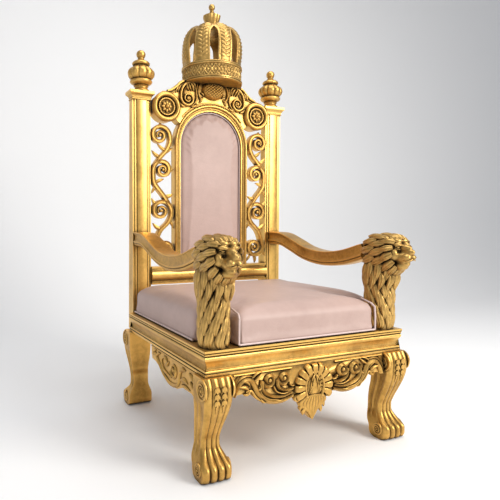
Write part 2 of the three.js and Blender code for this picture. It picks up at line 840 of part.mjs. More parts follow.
// Built about the axis of the column, standing on z = 0, looking along minus Y.
function lion() {
  const r = LION.columnRadius;
  const { rowHeight, lockRows, locksPerRow, lockProud, headCentre, maneLocks } = LION;
  // staggered rows of flame-shaped locks: crests and hollows trade places from row to row
  const staggered = (i, step, proud) => {
    const crest = (i + Math.floor(step / 2)) % 2 === 0;
    const atTip = step % 2 === 0;
    return crest === atTip ? 0 : proud;
  };
  const columnRings = Array.from({ length: 2 * lockRows + 1 }, (_, step) =>
    Array.from({ length: 2 * locksPerRow }, (_unused, i) => {
      const angle = (i / locksPerRow) * Math.PI;
      const reach = r + staggered(i, step, lockProud);
      return V(reach * Math.cos(angle), reach * Math.sin(angle), (step * rowHeight) / 2);
    }),
  );
  // the mane sweeps back from the face in locks: [y, radius across, radius up, proud]
  const maneLevels = [
    [-96, 42, 42, 0],
    [-76, 52, 54, 9],
    [-28, 58, 57, 11],
    [16, 56, 54, 11],
    [50, 40, 36, 8],
  ];
  const maneRings = maneLevels.map(([y, across, up, proud], step) =>
    Array.from({ length: 2 * maneLocks }, (_, i) => {
      const angle = (i / maneLocks) * Math.PI;
      const lift = (i + step) % 2 === 0 ? proud : 0;
      return V((across + lift) * Math.sin(angle), y, headCentre.z + (up + lift) * Math.cos(angle));
    }),
  );
  const head = ellipsoid([0, -64, 286], [45, 62, 54], 8, 6);
  const muzzle = ellipsoid([0, -122, 264], [33, 30, 21], 8, 5);
  const bridge = leaf(V(0, -84, 314), V(0, -LION.noseReach - 6, 280), V(0, -0.5, 0.86), 17, 4, 30);
  const chin = ellipsoid([0, -104, 240], [20, 28, 17], 6, 4);
  const throat = ellipsoid([0, -24, 222], [44, 52, 50], 8, 4);
  const body = join([loft(columnRings), loft(maneRings), throat, head, muzzle, bridge, chin]);
  const backLimit = ARM.frontY - GAP - LION.centreY;
  return cut(body, [box(-120, 120, backLimit, backLimit + 100, -10, 500)]);
}

// ---------------------------------------------------------------- cushion

function cushion() {
  const bottom = SEAT.railTop + GAP;
  const level = (inset, z) => {
    const side = CUSHION.halfWidth - inset;
    const front = CUSHION.frontY + inset;
    const back = CUSHION.backY - inset;
    const notchX = CUSHION.notchX - inset;
    const notchY = CUSHION.notchY + inset;
    const round = 12;
    const half = [
      [notchX - round, front],
      [notchX, front + round],
      [notchX, notchY],
      [side - round, notchY],
      [side, notchY + round],
      [side, back - round],
      [side - round, back],
    ];
    const other = [...half].reverse().map(([x, y]) => [-x, y]);
    return [...half, ...other].map(([x, y]) => V(x, y, z));
  };
  const crownLevel = CUSHION.crown;
  const rings = [
    level(4, bottom),
    level(0, bottom + 10),
    level(0, CUSHION.edgeTop - 8),
    level(10, CUSHION.edgeTop + 8),
    level(40, CUSHION.edgeTop + 24),
  ];
  return loft(rings, undefined, V(0, 420, crownLevel));
}

// ---------------------------------------------------------------- assembly

const throne = new THREE.Group();

function add(name, geometry, material) {
  const mesh = new THREE.Mesh(geometry, material);
  mesh.name = name;
  throne.add(mesh);
  return mesh;
}

function addPair(name, geometry, makeMaterial) {
  add(`left_${name}`, mirroredX(geometry), makeMaterial());
  add(`right_${name}`, geometry, makeMaterial());
}

add('front_seat_rail', frontRail(), gold());
addPair('side_seat_rail', sideRail(), gold);
add('rear_seat_rail', rearRail(), plainGold());
add('seat_board', seatBoard(), board());

const frontLeg = leg(LEG.front).translate(LEG.centreX, 0, 0);
addPair('front_leg', frontLeg, gold);
const rearLeg = leg(LEG.rear).rotateZ(Math.PI).translate(LEG.centreX, LEG.rearBackY, 0);
addPair('rear_leg', rearLeg, gold);

add('front_apron', frontApron(), gold());
addPair('side_apron', sideApron(), gold);

addPair('back_post', post(), gold);
addPair('finial', finial(), gold);

add('arch_frame', archFrame(), gold());
add('back_pad', pad(), blush());
add('rear_panel', rearPanel(), plainGold());
add('back_bottom_rail', backBottomRail(), gold());
addPair('scroll_panel', scrollPanel(), gold);
add('crest', crest(), gold());
addPair('rosette', rosette(), gold);
add('crown', crown(), gold());

addPair('arm', arm(), gold);
const lionStand = lion().translate(LION.centreX, LION.centreY, SEAT.railTop + GAP);
addPair('lion', lionStand, gold);
add('seat_cushion', cushion(), blush());

// stand the throne with its box centred on the origin
const bounds = new THREE.Box3().setFromObject(throne);
throne.position.y = -(bounds.min.y + bounds.max.y) / 2;

export default throne;
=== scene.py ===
"""A carved and gilded throne with lion arm supports, an arched pink back pad and an open crown."""

import math

import bmesh
import bpy
import numpy as np
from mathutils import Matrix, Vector


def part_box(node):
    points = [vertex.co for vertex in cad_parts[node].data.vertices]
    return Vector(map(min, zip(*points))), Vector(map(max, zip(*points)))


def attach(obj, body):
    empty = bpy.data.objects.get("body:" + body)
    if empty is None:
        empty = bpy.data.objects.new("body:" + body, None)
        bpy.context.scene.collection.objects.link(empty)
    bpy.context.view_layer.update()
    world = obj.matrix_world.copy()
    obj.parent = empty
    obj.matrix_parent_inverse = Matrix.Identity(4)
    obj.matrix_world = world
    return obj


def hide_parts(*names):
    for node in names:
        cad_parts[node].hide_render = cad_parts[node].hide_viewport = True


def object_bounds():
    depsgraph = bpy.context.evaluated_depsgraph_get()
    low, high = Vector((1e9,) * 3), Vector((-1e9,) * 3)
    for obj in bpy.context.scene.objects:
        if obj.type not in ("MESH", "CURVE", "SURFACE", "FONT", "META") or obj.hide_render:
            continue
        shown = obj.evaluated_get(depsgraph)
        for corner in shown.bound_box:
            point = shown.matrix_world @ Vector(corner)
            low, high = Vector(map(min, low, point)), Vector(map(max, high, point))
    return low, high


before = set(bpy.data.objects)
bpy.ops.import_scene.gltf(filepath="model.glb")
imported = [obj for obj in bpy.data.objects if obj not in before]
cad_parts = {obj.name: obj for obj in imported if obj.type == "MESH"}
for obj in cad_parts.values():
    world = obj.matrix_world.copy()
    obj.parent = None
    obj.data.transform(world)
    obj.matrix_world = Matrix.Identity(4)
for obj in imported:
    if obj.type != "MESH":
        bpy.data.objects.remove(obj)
CAD_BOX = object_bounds()

# Working measures are millimetres. X runs to the right seen from the front, Z up from the floor,
# and Y back from the front face of the seat rail.
MM = 0.001
ORIGIN_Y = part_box("front_seat_rail")[0][1]


# ------------------------------------------------------------------ curves


def bend(points, steps):
    """Even points on a smooth run through a few given ones (centripetal Catmull-Rom)."""
    p = np.array(points, float)
    p = np.vstack([2 * p[0] - p[1], p, 2 * p[-1] - p[-2]])
    fine = []
    for i in range(len(p) - 3):
        q = p[i : i + 4]
        t = np.concatenate([[0], np.cumsum(np.sqrt(np.linalg.norm(np.diff(q, axis=0), axis=1)) + 1e-9)])
        u = np.linspace(t[1], t[2], 24, endpoint=i == len(p) - 4)[:, None]
        a = [((t[k + 1] - u) * q[k] + (u - t[k]) * q[k + 1]) / (t[k + 1] - t[k]) for k in range(3)]
        b = [((t[k + 2] - u) * a[k] + (u - t[k]) * a[k + 1]) / (t[k + 2] - t[k]) for k in range(2)]
        fine.append(((t[2] - u) * b[0] + (u - t[1]) * b[1]) / (t[2] - t[1]))
    return even(np.vstack(fine), steps)


def even(line, steps):
    """The same line with steps + 1 evenly spaced points."""
    line = np.array(line, float)
    run = np.concatenate([[0], np.cumsum(np.linalg.norm(np.diff(line, axis=0), axis=1))])
    at = np.linspace(0, run[-1], steps + 1)
    return np.column_stack([np.interp(at, run, line[:, k]) for k in range(line.shape[1])])


def profile(points):
    """Function of one value that runs smoothly through (value, result) pairs."""
    xs, ys = np.array(points, float).T
    slopes = np.gradient(ys, xs)
    flat = np.sign(np.diff(ys))
    for i in range(1, len(xs) - 1):
        if flat[i - 1] != flat[i]:
            slopes[i] = 0

    def value(x):
        x = np.clip(np.asarray(x, float), xs[0], xs[-1])
        i = np.clip(np.searchsorted(xs, x) - 1, 0, len(xs) - 2)
        h = xs[i + 1] - xs[i]
        t = (x - xs[i]) / h
        return (
            (1 + 2 * t) * (1 - t) ** 2 * ys[i]
            + t * (1 - t) ** 2 * h * slopes[i]
            + t * t * (3 - 2 * t) * ys[i + 1]
            + t * t * (t - 1) * h * slopes[i + 1]
        )

    return value


def volute(centre, radius, end_angle, turns, clockwise=False, shrink=0.42, steps=40):
    """Spiral that winds out of its eye and ends at end_angle, in degrees, at the full radius."""
    left = (1 - np.linspace(0, 1, steps + 1)) * turns
    angle = math.radians(end_angle) - (-1 if clockwise else 1) * left * 2 * math.pi
    r = radius * shrink**left
    return np.column_stack([centre[0] + r * np.cos(angle), centre[1] + r * np.sin(angle)])


def ease(x, low, high):
    t = np.clip((np.asarray(x, float) - low) / (high - low), 0, 1)
    return t * t * (3 - 2 * t)


# ------------------------------------------------------------------ shapes


class Work:
    """Corners and faces of one piece while it is carved."""

    def __init__(self):
        self.points, self.faces, self.count = [], [], 0

    def add(self, points, faces):
        points = np.asarray(points, float).reshape(-1, 3)
        self.points.append(points)
        self.faces += [tuple(int(i) + self.count for i in face) for face in faces]
        self.count += len(points)
        return self

    def skin(self, rings, caps=True, closed=True):
        """Skin over equal rings (rows, corners, 3), closed at both ends by a fan."""
        rings = np.asarray(rings, float)
        rows, corners = rings.shape[:2]
        faces = []
        for i in range(rows - 1):
            for j in range(corners if closed else corners - 1):
                k = (j + 1) % corners
                faces.append(
                    (i * corners + j, i * corners + k, (i + 1) * corners + k, (i + 1) * corners + j)
                )
        points = rings.reshape(-1, 3)
        if caps:
            ends = np.array([rings[0].mean(0), rings[-1].mean(0)])
            first, last = len(points), (rows - 1) * corners
            points = np.vstack([points, ends])
            for j in range(corners):
                k = (j + 1) % corners
                faces.append((first, k, j))
                faces.append((first + 1, last + j, last + k))
        return self.add(points, faces)

    def board(self, outline, low, high):
        """Flat board over an outline of (u, v) between two levels of h, in (u, v, h)."""
        outline = np.asarray(outline, float)
        n = len(outline)
        points = [(*p, level) for level in (low, high) for p in outline]
        faces = [tuple(range(n)), tuple(range(2 * n - 1, n - 1, -1))]
        faces += [(i, (i + 1) % n, n + (i + 1) % n, n + i) for i in range(n)]
        return self.add(points, faces)

    def stem(self, path, width, section, back=0.0, lift=0.0):
        """Ribbon along a path in the (u, v) plane; section gives (across -1..1, height) pairs."""
        path = np.asarray(path, float)
        along = np.gradient(path, axis=0)
        along /= np.linalg.norm(along, axis=1)[:, None] + 1e-9
        across = np.column_stack([-along[:, 1], along[:, 0]])
        t = np.linspace(0, 1, len(path))
        w = width(t) if callable(width) else np.full(len(t), float(width))
        h = lift(t) if callable(lift) else np.full(len(t), float(lift))
        rings = []
        for i in range(len(path)):
            ring = [
                (path[i] + across[i] * a * w[i]).tolist() + [h[i] + b * (0.4 + 0.6 * w[i] / w.max())] for a,
                b in section
            ]
            ring += [(path[i] + across[i] * a * w[i]).tolist() + [back] for a in (0.96, -0.96)]
            rings.append(ring)
        return self.skin(rings)

    def blade(
        self, path, width, height, grooves=0, groove=0.0, normal=(0, 0, 1), across=9, back=2.0, sharp=1.0
    ):
        """Leaf or lock along a 3-D path: rounded above, hollowed by grooves, flat behind."""
        path = np.asarray(path, float)
        along = np.gradient(path, axis=0)
        along /= np.linalg.norm(along, axis=1)[:, None] + 1e-9
        up = np.array(
            [normal(t) for t in np.linspace(0, 1, len(path))] if callable(normal) else [normal] * len(path),
            float
        )
        side = np.cross(along, up)
        side /= np.linalg.norm(side, axis=1)[:, None] + 1e-9
        up = np.cross(side, along)
        t = np.linspace(0, 1, len(path))
        w, h = width(t), height(t)
        u = np.linspace(-1, 1, across)
        bulge = (1 - np.abs(u) ** 2.2) ** (0.6 * sharp)
        comb = 0.5 - 0.5 * np.cos(u * math.pi * grooves) if grooves else 0 * u
        rings = []
        for i in range(len(path)):
            lift = h[i] * bulge - groove * comb * min(1, w[i] / w.max() * 1.6)
            top = path[i] + side[i] * (u * w[i])[:, None] + up[i] * lift[:, None]
            low = path[i] + side[i] * (u[::-1, None] * w[i] * 0.9) - up[i] * back
            rings.append(np.vstack([top, low[[1, -2]]]))
        return self.skin(rings)

    def ball(self, centre, radii, across=16, up=10):
        radii = np.broadcast_to(np.array(radii, float), 3)
        rings = []
        for j in range(1, up):
            phi = math.pi * j / up
            a = np.linspace(0, 2 * math.pi, across, endpoint=False)
            rings.append(
                np.column_stack(
                    [np.sin(phi) * np.cos(a), np.sin(phi) * np.sin(a), np.full(across, np.cos(phi))]
                )
            )
        rings = np.array(rings) * radii + centre
        rows = len(rings)
        faces = [
            (
                i * across + j, i * across + (j + 1) % across, (i + 1) * across + (j + 1) % across,
                (i + 1) * across + j
            )
            for i in range(rows - 1)
            for j in range(across)
        ]
        top, low = rows * across, rows * across + 1
        faces += [(top, (j + 1) % across, j) for j in range(across)]
        faces += [
            (low, (rows - 1) * across + j, (rows - 1) * across + (j + 1) % across) for j in range(across)
        ]
        points = np.vstack(
            [rings.reshape(-1, 3), np.array(centre) + (0, 0, radii[2]), np.array(centre) - (0, 0, radii[2])]
        )
        return self.add(points, faces)

    def turned(self, outline, sides, lobe=None, centre=(0, 0)):
        """Solid of revolution from (radius, height) pairs; lobe(angle, radius, height) may swell it."""
        a = np.linspace(0, 2 * math.pi, sides, endpoint=False)
        rings = []
        for radius, height in outline:
            r = np.full(sides, max(radius, 0.01))
            if lobe is not None:
                r = r + lobe(a, radius, height)
            rings.append(
                np.column_stack(
                    [centre[0] + r * np.cos(a), centre[1] + r * np.sin(a), np.full(sides, height)]
                )
            )
        return self.skin(rings)

    def all_points(self):
        return np.vstack(self.points)

    def changed(self, change):
        """A copy with every point sent through change(points)."""
        other = Work()
        other.add(change(self.all_points()), self.faces)
        return other

    def mirrored(self):
        other = Work()
        other.add(self.all_points() * (-1, 1, 1), [face[::-1] for face in self.faces])
        return other

    def take(self, *others):
        for other in others:
            self.add(other.all_points(), other.faces)
        return self


def on_front(y):
    """Sends (u, v, h) work to the front: X = u, Z = v, and h stands out towards -Y from y."""
    return lambda p: np.column_stack([p[:, 0], y - p[:, 2], p[:, 1]])


def on_side(x):
    """Sends (u, v, h) work to the right side: Y = u, Z = v, and h stands out towards +X from x."""
    return lambda p: np.column_stack([x + p[:, 2], p[:, 0], p[:, 1]])


def on_axis(x, y):
    """Sends (u, v, h) turned work to an axis that points to -Y: used for the rosettes."""
    return lambda p: np.column_stack([x[0] + p[:, 0], y - p[:, 2], x[1] + p[:, 1]])


def to_object(name, work, keep_angle=38):
    """Makes a Blender object in metres; faces outward, smooth but for edges sharper than keep_angle."""
    mesh = bpy.data.meshes.new(name)
    points = work.all_points() + (0, ORIGIN_Y / MM, 0)
    points = np.clip(points * MM, *CAD_BOX)
    mesh.from_pydata(points.tolist(), [], work.faces)
    mesh.validate()
    body = bmesh.new()
    body.from_mesh(mesh)
    bmesh.ops.remove_doubles(body, verts=body.verts, dist=2e-6)
    bmesh.ops.recalc_face_normals(body, faces=body.faces)
    limit = math.radians(keep_angle)
    for face in body.faces:
        face.smooth = True
    for edge in body.edges:
        if len(edge.link_faces) == 2:
            edge.smooth = edge.calc_face_angle(0) < limit
    body.to_mesh(mesh)
    body.free()
    piece = bpy.data.objects.new(name, mesh)
    bpy.context.scene.collection.objects.link(piece)
    return piece


def apply_modifiers(piece):
    """Bakes what is on the modifier list into a plain mesh."""
    graph = bpy.context.evaluated_depsgraph_get()
    graph.update()
    mesh = bpy.data.meshes.new_from_object(piece.evaluated_get(graph))
    piece.modifiers.clear()
    old, piece.data = piece.data, mesh
    bpy.data.meshes.remove(old)
    return piece


def melt(piece, voxel, smooth=0, factor=0.5):
    """Grows overlapping forms into one skin, then softens it."""
    step = piece.modifiers.new("melt", "REMESH")
    step.mode, step.voxel_size, step.use_smooth_shade = "VOXEL", voxel * MM, True
    if smooth:
        soft = piece.modifiers.new("soften", "SMOOTH")
        soft.iterations, soft.factor = smooth, factor
    apply_modifiers(piece)
    for face in piece.data.polygons:
        face.use_smooth = True
    return piece


def read_points(piece):
    flat = np.empty(len(piece.data.vertices) * 3)
    piece.data.vertices.foreach_get("co", flat)
    return flat.reshape(-1, 3) / MM - (0, ORIGIN_Y / MM, 0)


def write_points(piece, points):
    piece.data.vertices.foreach_set("co", ((points + (0, ORIGIN_Y / MM, 0)) * MM).ravel())
    piece.data.update()


# ------------------------------------------------------------------ finishes


class Socket:
    """A shader output that can be used in ordinary sums."""

    def __init__(self, finish, output):
        self.finish, self.output = finish, output

    def _sum(self, operation, *values, clamp=False):
        return self.finish.node("ShaderNodeMath", {"operation": operation, "use_clamp": clamp}, *values)

    def __add__(self, other):
        return self._sum("ADD", self, other)

    def __sub__(self, other):
        return self._sum("SUBTRACT", self, other)

    def __rsub__(self, other):
        return self._sum("SUBTRACT", other, self)

    def __mul__(self, other):
        return self._sum("MULTIPLY", self, other)

    def __truediv__(self, other):
        return self._sum("DIVIDE", self, other)

    def __rtruediv__(self, other):
        return self._sum("DIVIDE", other, self)

    def __pow__(self, other):
        return self._sum("POWER", self, other)

    def __neg__(self):
        return self._sum("MULTIPLY", self, -1.0)

    __radd__, __rmul__ = __add__, __mul__

    def clamped(self):
        return self._sum("ADD", self, 0.0, clamp=True)

    def span(self, low, high):
        """0 at low, 1 at high, clamped."""
        return self._sum("MULTIPLY", self - low, 1.0 / (high - low), clamp=True)


class Finish:
    """One procedural material."""

    def __init__(self, name):
        self.material = bpy.data.materials.new(name)
        self.material.use_nodes = True
        self.tree = self.material.node_tree
        self.shader = self.tree.nodes["Principled BSDF"]
        self.place = self.node("ShaderNodeTexCoord", {}, out="Object")

    def _feed(self, socket, value):
        if isinstance(value, Socket):
            self.tree.links.new(value.output, socket)
        elif hasattr(socket, "default_value") and socket.type == "RGBA" and len(value) == 3:
            socket.default_value = (*value, 1.0)
        else:
            socket.default_value = value

    def node(self, kind, settings, *values, out=0, **named):
        made = self.tree.nodes.new(kind)
        stops = settings.pop("stops", None)
        for key, value in settings.items():
            setattr(made, key, value)
        if stops:
            ramp = made.color_ramp.elements
            while len(ramp) < len(stops):
                ramp.new(0.5)
            for element, (position, colour) in zip(ramp, stops):
                element.position, element.color = position, (*colour, 1.0)
        for socket, value in zip(made.inputs, values):
            self._feed(socket, value)
        for key, value in named.items():
            self._feed(made.inputs[key.replace("_", " ")], value)
        return Socket(self, made.outputs[out])

    def blend(self, amount, first, second, kind="MIX"):
        made = self.tree.nodes.new("ShaderNodeMix")
        made.data_type, made.blend_type = "RGBA", kind
        for index, value in ((0, amount), (6, first), (7, second)):
            self._feed(made.inputs[index], value)
        return Socket(self, made.outputs[2])

    def noise(self, scale, detail=3.0, rough=0.5, stretch=None):
        place = self.place
        if stretch:
            place = self.node("ShaderNodeMapping", {}, Vector=place, Scale=stretch)
        return self.node(
            "ShaderNodeTexNoise", {}, Vector=place, Scale=scale, Detail=detail, Roughness=rough
        )

    def bump(self, height, strength, distance, under=None):
        named = {"Strength": strength, "Distance": distance, "Height": height}
        if under is not None:
            named["Normal"] = under
        return self.node("ShaderNodeBump", {}, **named)

    def set(self, **inputs):
        for key, value in inputs.items():
            self._feed(self.shader.inputs[key.replace("_", " ")], value)
        return self.material


def gilding(name, bright, mid, shade_and_glaze, polish=0.0):
    """Gold paint rubbed bright on the high parts, with painted highlight on sharp edges and painted shade from
    ambient occlusion darkening the hollows almost to black, partly an antique glazing.
    """
    f = Finish(name)
    cloud = f.noise(9.0, 4.0, 0.6)
    fine = f.noise(85.0, 4.0, 0.6)
    speck = f.noise(420.0, 2.0, 0.6)
    # Ambient occlusion finds hollows and gaps between parts; they get painted shade, a near-black colour with less
    # metal, partly an antique glazing.
    open_air = f.node("ShaderNodeAmbientOcclusion", {"samples": 6}, Distance=0.016, out="AO")
    hollow = 1.0 - (open_air + (fine - 0.5) * 0.22).span(0.42, 0.98)
    # Sharp edges lightened beyond the bright gold: painted highlight, partly rubbed wear.
    edge = f.node("ShaderNodeNewGeometry", {}, out="Pointiness").span(0.505, 0.56)
    tone = f.blend((cloud * 0.65 + fine * 0.35).span(0.36, 0.66), mid, bright)
    tone = f.blend((edge * 0.55).clamped(), tone, tuple(min(1.0, c * 1.18 + 0.02) for c in bright))
    shade_and_glazing_mask = (hollow**1.25 * 0.97).clamped()
    colour = f.blend(shade_and_glazing_mask, tone, shade_and_glaze)
    colour = f.blend(speck.span(0.66, 0.8) * 0.22, colour, tuple(c * 0.5 for c in mid))
    rough = 0.31 - polish + cloud * 0.12 + hollow * 0.26 + fine.span(0.45, 0.75) * 0.06
    relief = f.bump(fine * 0.6 + speck * 0.25 + cloud * 0.8, 0.22, 0.0012)
    return f.set(
        Base_Color=colour, Metallic=0.93 - hollow * 0.35, Roughness=rough, Normal=relief,
        Specular_IOR_Level=0.5
    )


def upholstery(name, light, deep):
    """Soft leather with a fine grain, small cloudy changes of colour and a faint sheen, darkened by painted shade in
    creases and near other parts.
    """
    f = Finish(name)
    cloud = f.noise(5.0, 3.0, 0.55)
    blotch = f.noise(22.0, 4.0, 0.6)
    cell = f.node(
        "ShaderNodeTexVoronoi", {"feature": "DISTANCE_TO_EDGE"}, Vector=f.place, Scale=620.0, out="Distance"
    )
    crease = f.noise(34.0, 3.0, 0.55, stretch=(1.0, 1.0, 2.6))
    # Ambient occlusion over a few centimetres: creases and corners get painted shade.
    near = f.node("ShaderNodeAmbientOcclusion", {"samples": 6}, Distance=0.05, out="AO")
    painted_crease_shade = 1.0 - near.span(0.35, 1.0)
    colour = f.blend((cloud * 0.6 + blotch * 0.4).span(0.35, 0.66), deep, light)
    colour = f.blend(painted_crease_shade * 0.55, colour, tuple(c * 0.62 for c in deep))
    colour = f.blend((1.0 - cell.span(0.0, 0.05)) * 0.12, colour, tuple(c * 0.7 for c in deep))
    rough = 0.44 + blotch * 0.12 + (1.0 - cell.span(0.0, 0.06)) * 0.08
    grain = f.bump(cell.span(0.0, 0.09), 0.14, 0.0004)
    relief = f.bump(crease * 0.7 + blotch * 0.5, 0.2, 0.004, under=grain)
    return f.set(
        Base_Color=colour, Roughness=rough, Normal=relief, Sheen_Weight=0.12, Coat_Weight=0.08,
        Coat_Roughness=0.3
    )


def timber(name, light, dark):
    """Bare board with straight grain."""
    f = Finish(name)
    grain = f.noise(14.0, 6.0, 0.6, stretch=(1.2, 18.0, 18.0))
    fibre = f.noise(120.0, 3.0, 0.6, stretch=(1.0, 10.0, 10.0))
    colour = f.blend((grain * 0.7 + fibre * 0.3).span(0.35, 0.65), dark, light)
    return f.set(Base_Color=colour, Roughness=0.62 + fibre * 0.2, Normal=f.bump(grain + fibre, 0.3, 0.0008))


# The third colour of each gilding is the near-black painted shade laid in the hollows, partly an antique glazing.
GOLD = gilding("antique_gold", (0.80, 0.48, 0.125), (0.43, 0.235, 0.055), (0.018, 0.008, 0.002))
BURNISHED = gilding(
    "burnished_gold", (0.84, 0.52, 0.14), (0.50, 0.28, 0.068), (0.022, 0.010, 0.002), polish=0.06
)
LION_GOLD = gilding(
    "lion_gold", (0.70, 0.44, 0.135), (0.36, 0.21, 0.058), (0.015, 0.008, 0.002), polish=0.0
)
PLAIN_GOLD = gilding(
    "plain_gold_paint", (0.70, 0.48, 0.17), (0.52, 0.34, 0.10), (0.09, 0.05, 0.015), polish=-0.12
)
LEATHER = upholstery("blush_leather", (0.57, 0.405, 0.355), (0.48, 0.33, 0.285))
# The piping uses the leather's colours lightened: a painted highlight on the round cord.
PIPING_PAINTED_HIGHLIGHT = upholstery("piping_leather_painted_highlight", (0.76, 0.60, 0.56), (0.68, 0.52, 0.48))
BOARD = timber("seat_board_wood", (0.50, 0.34, 0.19), (0.33, 0.21, 0.11))


def dress(piece, finish, *nodes, slot="gold"):
    piece.data.materials.clear()
    piece.data.materials.append(finish)
    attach(piece, "root")
    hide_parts(*nodes)
    return piece


def pair(name, work, finish, keep_angle=38):
    """The right-hand piece as drawn and its mirror image on the left."""
    dress(to_object(f"right_{name}_carved", work, keep_angle), finish, f"right_{name}")
    dress(to_object(f"left_{name}_carved", work.mirrored(), keep_angle), finish, f"left_{name}")


# ------------------------------------------------------------------ seat rails

RAIL_OUT, RAIL_BOTTOM, RAIL_TOP, RAIL_THICK, RAIL_END = 406, 323, 403, 58, 741.7


def rail_section():
    """(out from the centre line, z) round the moulded seat rail."""
    out, low = RAIL_OUT, RAIL_BOTTOM
    cyma = bend(
        [
            (out - 14, low + 21), (out - 13.5, low + 28), (out - 8, low + 42), (out - 2.6, low + 51),
            (out - 2.4, low + 58), (out - 6, low + 61.5)
        ],
        16
    )
    face = [
        (out - 5, low),
        (out - 4, low + 0.8),
        (out - 4, low + 7),
        (out - 5, low + 8),
        (out - 9, low + 8.6),
        (out - 9.6, low + 10),
        (out - 7, low + 11),
        (out - 6, low + 12.2),
        (out - 6, low + 16),
        (out - 7, low + 17.5),
        (out - 12, low + 18.6),
        *cyma.tolist(),
        (out - 9, low + 62.5),
        (out - 8, low + 64),
        (out - 3, low + 64.6),
        (out - 2, low + 65.6),
        (out - 2, low + 69),
        (out - 3, low + 70),
        (out - 6.6, low + 70.6),
        (out - 6, low + 72),
        (out - 1, low + 72.8),
        (out, low + 74),
        (out, RAIL_TOP - 1),
        (out - 1, RAIL_TOP),
    ]
    return np.array(face + [(out - RAIL_THICK, RAIL_TOP), (out - RAIL_THICK, low)])


def seat_rails():
    section = rail_section()
    out, z = section[:, 0], section[:, 1]
    front = np.linspace(-1, 1, 9)
    rows = [np.column_stack([k * (out - 0.3), RAIL_OUT - out, z]) for k in front]
    dress(to_object("front_seat_rail_moulded", Work().skin(rows), 30), BURNISHED, "front_seat_rail")
    start = RAIL_OUT - out + 0.3
    rows = [np.column_stack([out, start + (RAIL_END - start) * t, z]) for t in np.linspace(0, 1, 9)]
    pair("side_seat_rail", Work().skin(rows), BURNISHED, 30)


seat_rails()

# ------------------------------------------------------------------ legs

LEG_X, LEG_TOP, LEG_DEPTH, REAR_LEG_Y = 366, 322.7, 62, 770
KNEE_HALF, ANKLE_HALF, FOOT_HALF = 48, 33, 51
REEDS = 4


def leg_half_width(z):
    return ANKLE_HALF + (
        KNEE_HALF - ANKLE_HALF
    ) * ease(z, 120, 265) + (FOOT_HALF - ANKLE_HALF) * (1 - ease(z, 42, 104))


